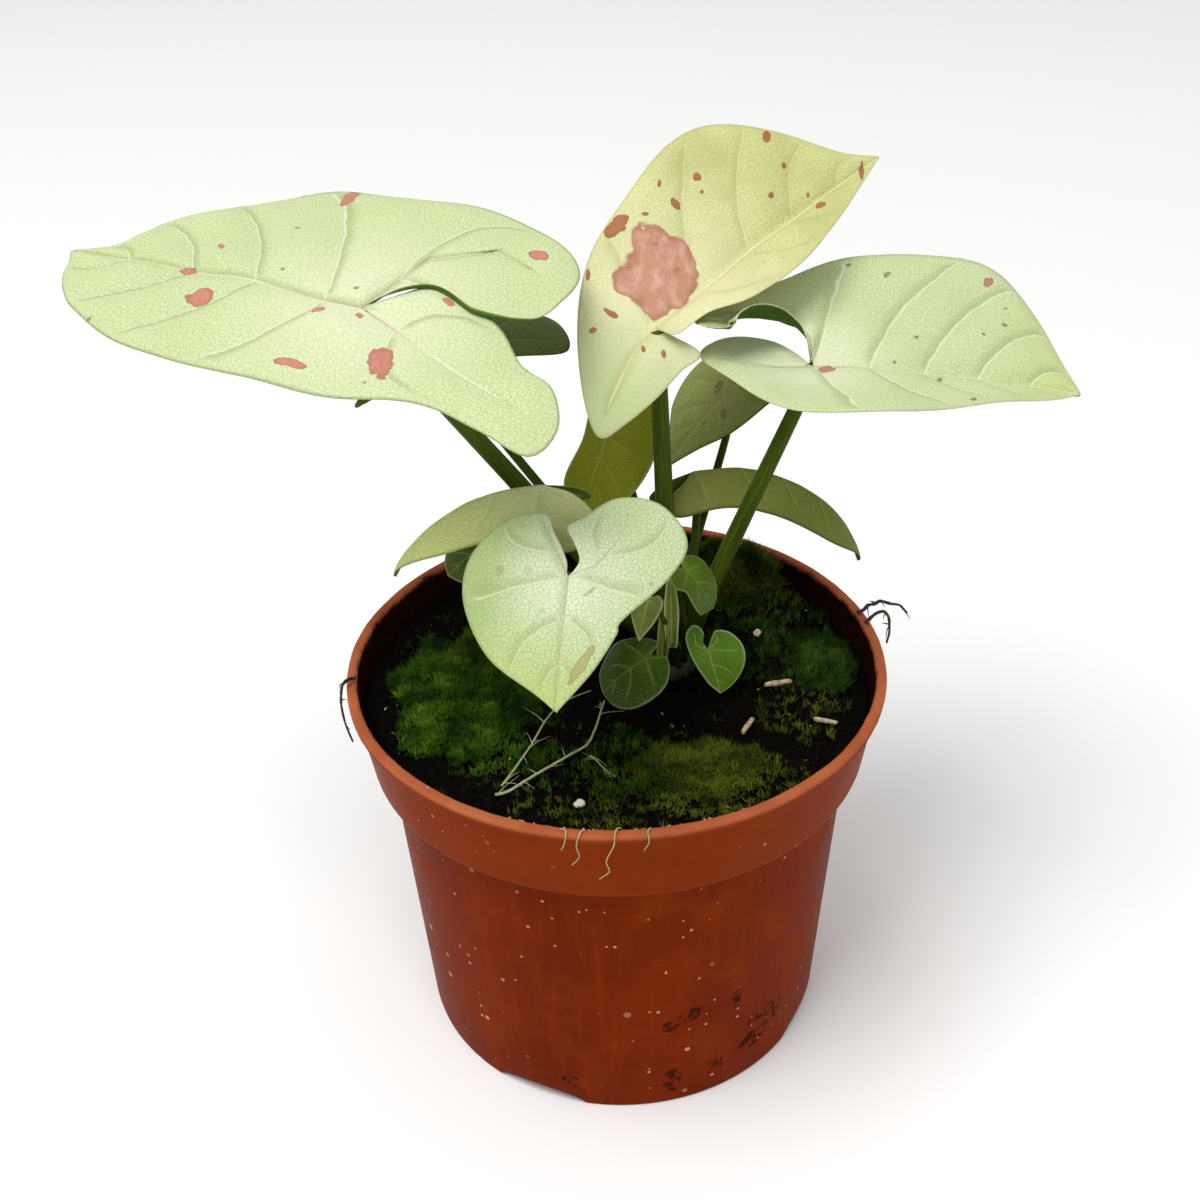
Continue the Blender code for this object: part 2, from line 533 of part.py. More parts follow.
def tube_mesh(name, route, widths, collection, colour, roughness=0.5):
    """A round tube along points in millimetres, made a mesh with welded caps."""
    curve = bpy.data.curves.new(f"{name}_route", "CURVE")
    curve.dimensions = "3D"
    curve.bevel_depth = 0.5 * MM
    curve.bevel_resolution = 2
    curve.use_fill_caps = True
    spline = curve.splines.new("POLY")
    spline.points.add(len(route) - 1)
    for point, place, width in zip(spline.points, route, widths):
        point.co = (*(Vector(place) * MM), 1.0)
        point.radius = width
    guide = bpy.data.objects.new(f"{name}_route", curve)
    collection.objects.link(guide)
    evaluated = guide.evaluated_get(bpy.context.evaluated_depsgraph_get())
    mesh = bpy.data.meshes.new_from_object(evaluated)
    mesh.name = name
    shape = bmesh.new()
    shape.from_mesh(mesh)
    bmesh.ops.remove_doubles(shape, verts=shape.verts, dist=0.001 * MM)
    bmesh.ops.recalc_face_normals(shape, faces=shape.faces)
    shape.to_mesh(mesh)
    shape.free()
    mesh.shade_smooth()
    made = add_object(name, mesh, collection, colour, roughness)
    made.matrix_world = guide.matrix_world
    bpy.data.objects.remove(guide, do_unlink=True)
    bpy.data.curves.remove(curve)
    return made


def stalk_route(leaf):
    """From the crown's top to just under the blade, leaving one upright and meeting the other squarely."""
    place = standing(leaf)
    normal = (place.to_3x3() @ Vector((0, 0, 1))).normalized()
    tent = tan(radians(max(0, -min(leaf["fold"]))))
    end = Vector(leaf["at"]) - normal * (BLADE_THICKNESS / 2 + GAP + leaf.get("seat", 0.12)
                                         + tent * TOP_SHARE * leaf["stalk"] / 2)
    start = Vector((CROWN[0] + leaf["foot"][0], CROWN[1] + leaf["foot"][1],
                    SOIL_LEVEL + GAP + CROWN_HEIGHT + GAP))
    leave = start + Vector((0, 0, STALK_RISE))
    reach = (end - leave).length
    upward = Vector((0, 0, 1))
    towards = leave + (end - leave).normalized().lerp(upward, 0.13) * reach / 3
    meet = end - normal * min(leaf["grip"], reach / 3)
    steps = 9 if reach > 20 else 6
    route = [start]
    for step in range(steps + 1):
        t = step / steps
        route.append(leave * (1 - t) ** 3 + towards * 3 * t * (1 - t) ** 2
                     + meet * 3 * t * t * (1 - t) + end * t ** 3)
    return route


def make_stalk(name, leaf, parts):
    route = stalk_route(leaf)
    last = len(route) - 1
    widths = [leaf["stalk"] * (FOOT_SHARE + (TOP_SHARE - FOOT_SHARE) * index / last)
              for index in range(last + 1)]
    tube_mesh(name.replace("leaf", "stalk"), route, widths, parts, COLOURS["stalk"], 0.45)


def make_moss(name, values, parts):
    """A low cushion whose underside follows the soil."""
    x, y, half_width, half_depth, height = values
    shape = bmesh.new()
    bmesh.ops.create_uvsphere(shape, u_segments=20, v_segments=8, radius=1)
    for point in shape.verts:
        dome = point.co.z
        point.co.x = (x + point.co.x * half_width * (1 + 0.07 * sin(3 * point.co.y))) * MM
        point.co.y = (y + point.co.y * half_depth * (1 + 0.07 * sin(4 * dome))) * MM
        ground = soil_height(point.co.x / MM, point.co.y / MM) + GAP
        point.co.z = (ground + 0.4 + (dome * height if dome > 0 else dome * 0.3)) * MM
    add_object(name, mesh_from(shape, name), parts, COLOURS["moss"], 0.9)


def make_chip(name, values, parts):
    x, y, length, width, thickness, turn = values
    ground = soil_height(x, y) + GAP + 0.35
    shape = bmesh.new()
    bmesh.ops.create_cube(shape, size=1)
    bmesh.ops.subdivide_edges(shape, edges=shape.edges, cuts=1, use_grid_fill=True)
    for point in shape.verts:
        side = abs(point.co.x) + abs(point.co.y)
        point.co.z *= 1 - 0.35 * side
    bmesh.ops.scale(shape, verts=shape.verts, vec=(length * MM, width * MM, thickness * MM))
    bmesh.ops.rotate(shape, verts=shape.verts, matrix=Matrix.Rotation(radians(turn), 3, "Z"))
    bmesh.ops.translate(shape, verts=shape.verts, vec=(x * MM, y * MM, (ground + thickness / 2) * MM))
    kind = "perlite" if name.startswith("perlite") else "wood_chip"
    add_object(name, mesh_from(shape, name), parts, COLOURS[kind], 0.8)


def make_surface_root(name, values, parts):
    width = values["width"]
    points = [np.array((x, y, soil_height(x, y) + GAP + 0.2 + width / 2 + lift))
              for x, y, lift in values["route"]]
    route = smooth_points(points, 3)
    widths = [width * (1 - 0.45 * index / (len(route) - 1)) for index in range(len(route))]
    tube_mesh(name, [tuple(point) for point in route], widths, parts, COLOURS["root"], 0.7)


def make_rim_root(name, values, parts):
    route = smooth_points([np.array(point) for point in values["route"]], 3)
    widths = [values["width"] * (1 - 0.5 * index / (len(route) - 1)) for index in range(len(route))]
    tube_mesh(name, [tuple(point) for point in route], widths, parts, COLOURS["dry_root"], 0.8)


def main():
    clear_scene()
    parts = new_collection(PARTS)
    cutters = new_collection(CUTTERS)
    cutters.hide_render = True
    make_pot(parts, cutters)
    make_soil(parts)
    make_crown(parts)
    for name, leaf in LEAVES.items():
        make_blade(name, leaf, parts)
        make_stalk(name, leaf, parts)
    for name, values in MOSS.items():
        make_moss(name, values, parts)
    for name, values in CHIPS.items():
        make_chip(name, values, parts)
    for name, values in SURFACE_ROOTS.items():
        make_surface_root(name, values, parts)
    for name, values in RIM_ROOTS.items():
        make_rim_root(name, values, parts)


main()
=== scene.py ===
# Potted syngonium: looks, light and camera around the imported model. Metres, +Z up, -Y is the front.
# Shapes are worked out in millimetres and multiplied by mm where they are placed.

from math import cos, exp, hypot, pi, radians, sin, tan
from random import Random

import bmesh
import bpy
import numpy as np
from mathutils import Matrix, Vector, noise


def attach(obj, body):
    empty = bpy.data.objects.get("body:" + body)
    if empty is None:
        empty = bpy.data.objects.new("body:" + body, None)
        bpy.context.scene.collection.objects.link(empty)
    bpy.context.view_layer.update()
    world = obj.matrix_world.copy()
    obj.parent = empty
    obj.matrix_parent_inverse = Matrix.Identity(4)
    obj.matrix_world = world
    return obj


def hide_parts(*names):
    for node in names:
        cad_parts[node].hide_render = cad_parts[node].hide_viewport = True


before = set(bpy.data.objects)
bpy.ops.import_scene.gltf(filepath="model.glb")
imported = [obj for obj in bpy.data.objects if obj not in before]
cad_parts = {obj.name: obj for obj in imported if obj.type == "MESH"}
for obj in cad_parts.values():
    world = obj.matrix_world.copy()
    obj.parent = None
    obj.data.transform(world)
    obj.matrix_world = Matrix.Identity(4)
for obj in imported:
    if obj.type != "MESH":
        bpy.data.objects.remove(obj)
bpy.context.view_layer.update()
print("frame loaded:", len(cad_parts), "nodes")

mm = 0.001
up = Vector((0, 0, 1))


def tone(text):
    # "rrggbb" as written in a colour picker, made linear
    parts = [int(text[place:place + 2], 16) / 255 for place in (0, 2, 4)]
    return (*[part / 12.92 if part < 0.04 else ((part + 0.055) / 1.055) ** 2.4 for part in parts], 1)


class Nodes:
    # short ways to add and join the nodes of one tree
    def __init__(self, tree):
        self.tree = tree

    def add(self, kind, feeds=None, **settings):
        made = self.tree.nodes.new("ShaderNode" + kind)
        for key, value in settings.items():
            setattr(made, key, value)
        for key, value in (feeds or {}).items():
            self.feed(made.inputs[key], value)
        return made

    def feed(self, socket, value):
        if isinstance(value, bpy.types.NodeSocket):
            self.tree.links.new(value, socket)
        else:
            socket.default_value = value

    def math(self, operation, *values):
        return self.add("Math", dict(enumerate(values)), operation=operation).outputs[0]

    def vector(self, operation, *values):
        return self.add("VectorMath", dict(enumerate(values)), operation=operation).outputs[0]

    def measure(self, operation, *values):
        # a vector operation whose answer is one number
        return self.add("VectorMath", dict(enumerate(values)), operation=operation).outputs["Value"]

    def fade(self, value, start, end, low=0.0, high=1.0):
        # low below start, high above end, eased between
        feeds = {"Value": value, "From Min": start, "From Max": end, "To Min": low, "To Max": high}
        return self.add("MapRange", feeds, interpolation_type="SMOOTHSTEP").outputs["Result"]

    def mix(self, share, first, second):
        made = self.add("Mix", data_type="RGBA", blend_type="MIX")
        for socket, value in ((0, share), (6, first), (7, second)):
            self.feed(made.inputs[socket], value)
        return made.outputs[2]

    def over(self, under, mask, share, colour):
        # a colour laid over another, as strongly as the mask times the share
        return self.mix(self.math("MULTIPLY", mask, share), under, tone(colour))

    def noise(self, vector, scale, detail=2.0, roughness=0.5):
        feeds = {"Vector": vector, "Scale": scale, "Detail": detail, "Roughness": roughness}
        return self.add("TexNoise", feeds).outputs["Fac"]

    def ruffle(self, vector, scale, detail, roughness=0.5):
        # a noise in three directions, about -0.5 to 0.5
        feeds = {"Vector": vector, "Scale": scale, "Detail": detail, "Roughness": roughness}
        return self.vector("ADD", self.add("TexNoise", feeds).outputs["Color"], (-0.5, -0.5, -0.5))

    def split(self, vector):
        return self.add("SeparateXYZ", {0: vector}).outputs

    def place(self):
        return self.add("TexCoord").outputs["Object"]

    def stored(self, name, output="Vector"):
        # what the mesh itself stores at each point
        return self.add("Attribute", attribute_name=name).outputs[output]

    def millimetres(self):
        return self.vector("MULTIPLY", self.place(), (1000, 1000, 1000))

    def specks(self, vector, scale, size, share):
        return self.group(flecks, {"Vector": vector, "Scale": scale, "Size": size, "Share": share})["Mask"]

    def group(self, tree, feeds):
        made = self.add("Group", node_tree=tree)
        for key, value in feeds.items():
            self.feed(made.inputs[key], value)
        return made.outputs


def newMaterial(name):
    material = bpy.data.materials.new(name)
    material.use_nodes = True
    shader = material.node_tree.nodes["Principled BSDF"]
    return material, Nodes(material.node_tree), shader


def newGroup(name, takes, gives):
    tree = bpy.data.node_groups.new(name, "ShaderNodeTree")
    kinds = {"v": "NodeSocketVector", "f": "NodeSocketFloat"}
    for direction, sockets in (("INPUT", takes), ("OUTPUT", gives)):
        for label, kind in sockets.items():
            tree.interface.new_socket(label, in_out=direction, socket_type=kinds[kind])
    nodes = Nodes(tree)
    return tree, nodes, tree.nodes.new("NodeGroupInput").outputs, tree.nodes.new("NodeGroupOutput").inputs


def finish(nodes, shader, colour, rough, relief, strength, depth):
    # the depth of the relief is in millimetres
    made = nodes.add("Bump", {"Height": relief, "Strength": strength, "Distance": depth * mm})
    nodes.feed(shader.inputs["Base Color"], colour)
    nodes.feed(shader.inputs["Roughness"], rough)
    nodes.feed(shader.inputs["Normal"], made.outputs[0])


def makeVeinGroup():
    # veins, the painted shade on the slope beside them, network, margin and grain of a blade, from its flat
    # place in mm
    takes = {"Place": "v", "Veins": "v", "Vein Width": "f", "Rib Width": "f", "Net Scale": "f",
             "Grain Scale": "f"}
    gives = {"Laterals": "f", "Rib": "f", "Hollow": "f", "Net": "f", "Margin": "f", "Grain": "f"}
    tree, nodes, given, wanted = newGroup("leafPattern", takes, gives)
    veins = nodes.split(given["Veins"])
    flat = nodes.vector("MULTIPLY", given["Place"], (1, 1, 0))
    inFromEdge = nodes.split(given["Place"])[2]
    wander = nodes.math("MULTIPLY_ADD", nodes.noise(flat, 0.16, 2.0), 0.1, 0.45)
    past = nodes.math("SUBTRACT", nodes.math("FRACT", nodes.math("ADD", veins[0], wander)), 0.5)
    past = nodes.math("MULTIPLY", past, veins[1])
    lateral = nodes.fade(nodes.math("ABSOLUTE", past), 0.0, given["Vein Width"], 1.0, 0.0)
    inside = nodes.fade(inFromEdge, 0.6, 4.0)
    nodes.feed(wanted["Laterals"], nodes.math("MULTIPLY", lateral, inside))
    nodes.feed(wanted["Rib"], nodes.fade(veins[2], 0.0, given["Rib Width"], 1.0, 0.0))
    # painted shade: the slope on one side of each vein and of the rib is darkened
    slope = nodes.math("MULTIPLY", nodes.fade(past, 0.1, 0.45), nodes.fade(past, 0.45, 2.6, 1.0, 0.0))
    slope = nodes.math("MULTIPLY", nodes.math("MULTIPLY", slope, inside), nodes.fade(veins[2], 0.4, 3.0))
    farSide = nodes.math("LESS_THAN", nodes.split(given["Place"])[1], 0.0)
    ribSlope = nodes.math("MULTIPLY", farSide, nodes.fade(veins[2], 0.3, 2.4, 0.9, 0.0))
    nodes.feed(wanted["Hollow"], nodes.math("MAXIMUM", slope, ribSlope))
    bent = nodes.add("TexNoise", {"Vector": flat, "Scale": 0.5, "Detail": 2.0}).outputs["Color"]
    bent = nodes.vector("ADD", flat, nodes.vector("MULTIPLY", bent, (1.6, 1.6, 0)))
    cells = nodes.add("TexVoronoi", {"Vector": bent, "Scale": given["Net Scale"]},
                      voronoi_dimensions="2D", feature="DISTANCE_TO_EDGE").outputs["Distance"]
    nodes.feed(wanted["Net"], nodes.fade(cells, 0.01, 0.09, 1.0, 0.0))
    nodes.feed(wanted["Margin"], nodes.fade(inFromEdge, 0.15, 0.6, 1.0, 0.0))
    nodes.feed(wanted["Grain"], nodes.noise(flat, given["Grain Scale"], 3.0, 0.7))
    return tree


def makeSpeckGroup():
    # small separate flecks of uneven size
    takes = {"Vector": "v", "Scale": "f", "Size": "f", "Share": "f"}
    tree, nodes, given, wanted = newGroup("flecks", takes, {"Mask": "f"})
    cells = nodes.add("TexVoronoi", {"Vector": given["Vector"], "Scale": given["Scale"]}).outputs
    chosen = nodes.math("LESS_THAN", nodes.split(cells["Color"])[0], given["Share"])
    size = nodes.math("MULTIPLY", given["Size"], nodes.split(cells["Color"])[1])
    inside = nodes.math("LESS_THAN", cells["Distance"], size)
    nodes.feed(wanted["Mask"], nodes.math("MULTIPLY", chosen, inside))
    return tree


leafPattern = makeVeinGroup()
flecks = makeSpeckGroup()
# a big spot's rim sways slowly and wobbles little; a small one's wobbles with its width
spotRim = {"big": 3.0, "wobble": 0.9, "smallWobble": 1.7, "sway": 3.2, "fineScale": 0.38, "slowScale": 0.17}


def spotMask(nodes, place, spots):
    # ovals are (forward, sideways, half length, half width, turn): 1 inside any, and 1 towards their rims
    fine = nodes.ruffle(place, spotRim["fineScale"], 2.0)
    slow = nodes.ruffle(place, spotRim["slowScale"], 3.0, 0.45)
    nearest = 9.0
    for forward, sideways, length, width, turn in spots:
        big = width > spotRim["big"]
        wobble = spotRim["wobble"] if big else spotRim["smallWobble"] * width ** 0.6
        moved = nodes.vector("ADD", place, nodes.vector("MULTIPLY", fine, (wobble,) * 3))
        if big:
            moved = nodes.vector("ADD", moved, nodes.vector("MULTIPLY", slow, (spotRim["sway"],) * 3))
        feeds = {"Vector": moved, "Location": (forward, sideways, 0), "Rotation": (0, 0, radians(turn)),
                 "Scale": (length, width, 1)}
        oval = nodes.add("Mapping", feeds, vector_type="TEXTURE").outputs[0]
        nearest = nodes.math("MINIMUM", nearest, nodes.measure("LENGTH", oval))
    return nodes.fade(nearest, 0.92, 1.04, 1.0, 0.0), nodes.fade(nearest, 0.6, 0.95)


# how a blade looks unless its own look says otherwise; its net and its painted shade beside the veins are
# as its deep tone
plainLook = {"veinWidth": 0.45, "ribWidth": 0.5, "netScale": 0.75, "grainScale": 2.6, "patchShare": 0.35,
             "heartReach": 0.5, "heartShare": 0.6, "netShare": 0.12, "hollowShare": 0.3, "veinShare": 0.6,
             "ribReach": 0.35, "ribShare": 0.7, "specks": 0.06, "marginShare": 0.6, "roughness": 0.5,
             "shine": 0.14, "veinDip": -0.8, "bump": 0.35, "spotPaleShare": 0.0, "spotRim": "94583f",
             "shades": [], "spots": []}


def leafMaterial(name, look, length):
    look = {**plainLook, "net": look["deep"], "hollow": look["deep"], **look}
    material, nodes, shader = newMaterial(name + "Skin")
    place, veins = nodes.stored("leafPlace"), nodes.stored("veinPlace")
    under = nodes.stored("underside", "Fac")
    flat = nodes.vector("MULTIPLY", place, (1, 1, 0))
    pattern = nodes.group(leafPattern, {
        "Place": place, "Veins": veins, "Vein Width": look["veinWidth"], "Rib Width": look["ribWidth"],
        "Net Scale": look["netScale"], "Grain Scale": look["grainScale"]})
    patches = nodes.fade(nodes.noise(flat, 0.07, 3.0, 0.6), 0.35, 0.65)
    skin = nodes.mix(nodes.fade(pattern["Grain"], 0.38, 0.64), tone(look["deep"]), tone(look["light"]))
    skin = nodes.over(skin, patches, look["patchShare"], look["wash"])
    fromHeart = nodes.math("DIVIDE", nodes.measure("LENGTH", flat), length)
    nearHeart = nodes.fade(fromHeart, 0.05, look["heartReach"], look["heartShare"], 0.0)
    skin = nodes.mix(nearHeart, skin, tone(look["heart"]))
    for far, start, end, share in look["shades"]:
        # a wide change of colour along the blade, from start to end (forward, sideways)
        way = Vector(end) - Vector(start)
        begin = Vector(start).dot(way) / way.length_squared
        scaled = (way.x / way.length_squared, way.y / way.length_squared, 0)
        along = nodes.measure("DOT_PRODUCT", flat, scaled)
        along = nodes.math("SUBTRACT", along, 0.25)
        along = nodes.math("MULTIPLY_ADD", nodes.noise(flat, 0.12, 3.0), 0.5, along)
        skin = nodes.mix(nodes.fade(along, begin, begin + 1, 0.0, share), skin, tone(far))
    # the net, then the painted shade beside the veins and the rib, each laid on in its own colour
    for mask in ("net", "hollow"):
        skin = nodes.over(skin, pattern[mask.capitalize()], look[mask + "Share"], look[mask])
    skin = nodes.over(skin, pattern["Laterals"], look["veinShare"], look["vein"])
    outOnRib = nodes.fade(fromHeart, 0.04, look["ribReach"])
    ribTone = nodes.mix(outOnRib, tone(look["rib"]), tone(look["vein"]))
    skin = nodes.mix(nodes.math("MULTIPLY", pattern["Rib"], look["ribShare"]), skin, ribTone)
    for colour, share, spots in look["spots"]:
        inside, rim = spotMask(nodes, flat, spots)
        streaks = nodes.vector("MULTIPLY", veins, (5, 0, 0.25))
        paleShare = look["spotPaleShare"] if spots[0][3] > spotRim["big"] else 0.1
        pale = nodes.fade(nodes.noise(streaks, 1.0, 3.0, 0.6), 0.42, 0.7, 0.0, paleShare)
        blot = nodes.over(nodes.mix(pale, tone(colour), tone("eab9a8")), rim, 0.5, look["spotRim"])
        skin = nodes.mix(nodes.math("MULTIPLY", inside, share), skin, blot)
    skin = nodes.over(skin, nodes.specks(flat, 0.33, 0.1, look["specks"]), 0.55, "7c6a45")
    skin = nodes.over(skin, pattern["Margin"], look["marginShare"], look["margin"])
    back = nodes.mix(nodes.fade(pattern["Grain"], 0.3, 0.7), tone(look["underDeep"]), tone(look["under"]))
    lines = (("Laterals", 0.5, "underVein"), ("Rib", 0.8, "underVein"), ("Margin", 0.6, "margin"))
    for mask, share, colour in lines:
        back = nodes.over(back, pattern[mask], share, look[colour])
    rough = look["roughness"]
    rough = nodes.fade(pattern["Grain"], 0.2, 0.8, rough - 0.07, rough + 0.08)
    shader.inputs["Specular IOR Level"].default_value = look["shine"]
    height = nodes.math("MULTIPLY_ADD", pattern["Net"], -0.5, pattern["Grain"])
    height = nodes.math("MULTIPLY_ADD", pattern["Laterals"], look["veinDip"], height)
    finish(nodes, shader, nodes.mix(under, skin, back), rough, height, look["bump"], 0.25)
    return material


def camel(words, ending=""):
    first, *rest = words.split("_")
    return first + "".join(word.capitalize() for word in rest) + ending


def asMesh(name, shape):
    # the bmesh as a new mesh; the bmesh itself is freed
    mesh = bpy.data.meshes.new(name)
    shape.to_mesh(mesh)
    shape.free()
    return mesh


def setDown(name, data):
    made = bpy.data.objects.new(name, data)
    bpy.context.scene.collection.objects.link(made)
    return made


def addPiece(name, shape, material, stands=()):
    mesh = asMesh(name, shape)
    mesh.shade_smooth()
    mesh.materials.append(material)
    piece = setDown(name, mesh)
    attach(piece, "root")
    if stands:
        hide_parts(*stands)


def gather(shape, templates, places):
    # adds a copy of each small mesh at each of its places
    for template, spots in zip(templates, places):
        for place in spots:
            copy = template.copy()
            copy.transform(place)
            shape.from_mesh(copy)
            bpy.data.meshes.remove(copy)


def smoothLine(points, steps):
    # points along a smooth curve through the given ones
    points = [np.array(point, float) for point in points]
    padded = [2 * points[0] - points[1], *points, 2 * points[-1] - points[-2]]
    found = [points[0]]
    for before, start, end, after in zip(padded, padded[1:], padded[2:], padded[3:]):
        for step in range(1, steps + 1):
            t = step / steps
            found.append(0.5 * (2 * start + (end - before) * t
                                + (2 * before - 5 * start + 4 * end - after) * t * t
                                + (3 * start - before - 3 * end + after) * t ** 3))
    return found


def ringEdges(ring):
    edges = [edge for point in ring for edge in point.link_edges if edge.other_vert(point) in ring]
    return list(dict.fromkeys(edges))


def sweep(route, widths, sides=10, oval=1.0):
    # a tube through the route's points in millimetres, as a mesh, each ring carried on from the last
    shape = bmesh.new()
    strand = shape.verts.layers.float_vector.new("strand")
    route = [Vector(point) for point in route]
    turn, last = Matrix.Identity(3), Matrix.Identity(4)
    ring = bmesh.ops.create_circle(shape, cap_ends=True, segments=sides, radius=0.5)["verts"]
    for point in ring:
        point[strand] = (point.co.x, point.co.y, 0)
    travelled, facing = 0.0, up
    for index, (stop, width) in enumerate(zip(route, widths)):
        ahead = route[min(index + 1, len(route) - 1)] - route[max(index - 1, 0)]
        turn = facing.rotation_difference(ahead).to_matrix() @ turn
        facing = ahead.normalized()
        if index:
            travelled += (stop - route[index - 1]).length
            grown = bmesh.ops.extrude_edge_only(shape, edges=ringEdges(ring))["geom"]
            ring = [item for item in grown if isinstance(item, bmesh.types.BMVert)]
            for point in ring:
                point[strand] = (point[strand][0], point[strand][1], travelled)
        size = Matrix.Diagonal((width * mm, width * oval * mm, mm, 1))
        placed = Matrix.Translation(stop * mm) @ turn.to_4x4() @ size
        bmesh.ops.transform(shape, matrix=placed @ last.inverted(), verts=ring)
        last = placed
    bmesh.ops.edgeloop_fill(shape, edges=ringEdges(ring))
    bmesh.ops.recalc_face_normals(shape, faces=shape.faces)
    return asMesh("sweep", shape)


def joinMeshes(meshes):
    shape = bmesh.new()
    for mesh in meshes:
        shape.from_mesh(mesh)
        bpy.data.meshes.remove(mesh)
    return shape


# leaf blades: (blade lines, lobe lines) across each half; merge and thickness in millimetres
blade = {"thickness": 0.42, "finer": 6, "rows": 20, "edgeSteps": 16, "lines": (9, 12), "smallLines": (5, 6),
         "smallLeaf": 15.0, "veinSlant": 0.3, "lobeVeinShare": 0.8, "leastLobe": 2.0, "marginSteps": 90,
         "sweep": 0.9, "sweepSpread": 1.5, "sweepPower": 1.6, "ribTaper": 0.6, "merge": 0.02,
         "thinEdge": 1.2, "thinnest": 0.35, "ribBelow": 0.5, "ribBelowWidth": 0.8}
swells = {"calmLobe": 0.55, "ribDepth": 0.3, "ribWidth": 0.9, "slowScale": 0.055, "fineScale": 0.35,
          "fineHeight": 0.07, "fullSize": 50.0}
# a leaf's form unless it says otherwise, (left, right) where there are two
plainForm = {"notches": ((-1.2, 0.12), (-1.2, 0.12)), "lobeVeins": ([], []), "veinCounts": (4.5, 2.5),
             "curl": ((0, 0), (0, 0)), "curlSkew": 1, "quilt": 0.55, "waves": 0.9}
halves = ("left", "right")


def spreadEvenly(points, count, share=1.0):
    steps = [hypot(*(end - start)) for start, end in zip(points, points[1:])]
    along = np.concatenate([[0], np.cumsum(steps)])
    wanted = np.linspace(0, share * along[-1], count + 1)
    columns = [np.interp(wanted, along, [point[axis] for point in points]) for axis in (0, 1)]
    return np.stack(columns, axis=1)


def edgeOf(leaf, half):
    # a half's outline from the tip round its lobe to the notch, as (forward, outward)
    inner = leaf.get(halves[half])
    if inner is None:
        length, width, lobe = leaf["length"], leaf["width"], leaf["lobe"]
        inner = [(0.72 * length, 0.42 * width), (0.40 * length, 0.82 * width), (0.05 * length, width),
                 (-0.62 * lobe, 0.88 * width), (-lobe, 0.50 * width), (-0.55 * lobe, 0.14 * width)]
    return smoothLine([(leaf["length"], 0.0), *inner, leaf["notches"][half]], blade["edgeSteps"])


def veinEnds(leaf, half):
    # root and end of each line across a half, with its vein number: off the midrib, then off the lobe's own
    edge = edgeOf(leaf, half)
    turn = next(index for index, point in enumerate(edge) if point[0] <= blade["veinSlant"] * point[1])
    far = min(range(turn, len(edge)), key=lambda index: edge[index][0])
    lines = blade["smallLines" if leaf["length"] <= blade["smallLeaf"] else "lines"]
    midribLines, lobeLines = (count * blade["finer"] for count in lines)
    midribCount, lobeCount = leaf["veinCounts"]
    ends = list(spreadEvenly(edge[:turn + 1], midribLines))
    roots = [(leaf["length"] * (1 - index / midribLines), 0.0) for index in range(midribLines + 1)]
    numbers = [midribCount * index / midribLines for index in range(midribLines + 1)]
    if edge[far][0] > -blade["leastLobe"]:
        ends += list(spreadEvenly(edge[turn:], lobeLines))[1:]
        roots += [(0.0, 0.0)] * lobeLines
        numbers += [midribCount + lobeCount * index / lobeLines for index in range(1, lobeLines + 1)]
    else:
        upTo = lobeLines // 2
        route = [np.array(point, float) for point in ((0, 0), *leaf["lobeVeins"][half], edge[far])]
        out = spreadEvenly(route, upTo, blade["lobeVeinShare"])
        ends += list(spreadEvenly(edge[turn:far + 1], upTo))[1:]
        ends += list(spreadEvenly(edge[far:], upTo))[1:]
        roots += [*out[1:], *out[-2::-1]]
        counts = [midribCount + lobeCount * index / upTo for index in range(upTo + 1)]
        numbers += [*counts[1:], *counts[-2::-1]]
    return [(np.array(root), np.array(end), number) for root, end, number in zip(roots, ends, numbers)]


def arc(start, curve, run):
    if abs(curve) < 1e-6:
        return run * cos(start), run * sin(start)
    end = start + curve * run
    return (sin(end) - sin(start)) / curve, (cos(start) - cos(end)) / curve


def innerMargin(leaf, half):
    # a lobe's inner edge from its tip to the notch: points, outward directions, how strongly it rolls
    edge = edgeOf(leaf, half)
    far = min(range(len(edge)), key=lambda index: edge[index][0])
    points = spreadEvenly(edge[far:], blade["marginSteps"])
    steps = np.gradient(points, axis=0)
    outward = np.stack([steps[:, 1], -steps[:, 0]], axis=1)
    outward /= np.linalg.norm(outward, axis=1)[:, None] + 1e-9
    share = np.sin(pi * np.linspace(0, 1, len(points)) ** leaf["curlSkew"]).clip(0) ** 0.7
    return points, outward, share


def reachOf(leaf):
    edges = np.concatenate([edgeOf(leaf, 0), edgeOf(leaf, 1)])
    return edges[:, 1].max(), -edges[:, 0].min()


def shaped(leaf, reach, forward, across, above, half):
    # a flat blade point bent into the leaf's standing form
    width, lobe = reach
    openUp = 1 - (max(0.0, forward) / leaf["length"]) ** 6
    side, lift = arc(radians(leaf["fold"][half]) * openUp, radians(leaf["cup"][half]) / width, across)
    if half:
        side = -side
    turn = radians(leaf["twist"]) * forward / leaf["length"]
    side, lift = side * cos(turn) - lift * sin(turn), side * sin(turn) + lift * cos(turn) + above
    if forward >= 0:
        bend, sign = -radians(leaf["droop"]) / leaf["length"], 1
    else:
        bend, sign = -radians(leaf["lobeDrop"][half]) / lobe, -1
    run, rise = arc(0, bend, abs(forward))
    angle = bend * abs(forward)
    return Vector((sign * (run - sin(angle) * lift), side, rise + cos(angle) * lift))


def standing(leaf):
    turn = (Matrix.Rotation(radians(leaf["heading"]), 4, "Z")
            @ Matrix.Rotation(radians(-leaf["pitch"]), 4, "Y")
            @ Matrix.Rotation(radians(leaf["roll"]), 4, "X"))
    return Matrix.Translation(leaf["at"]) @ turn


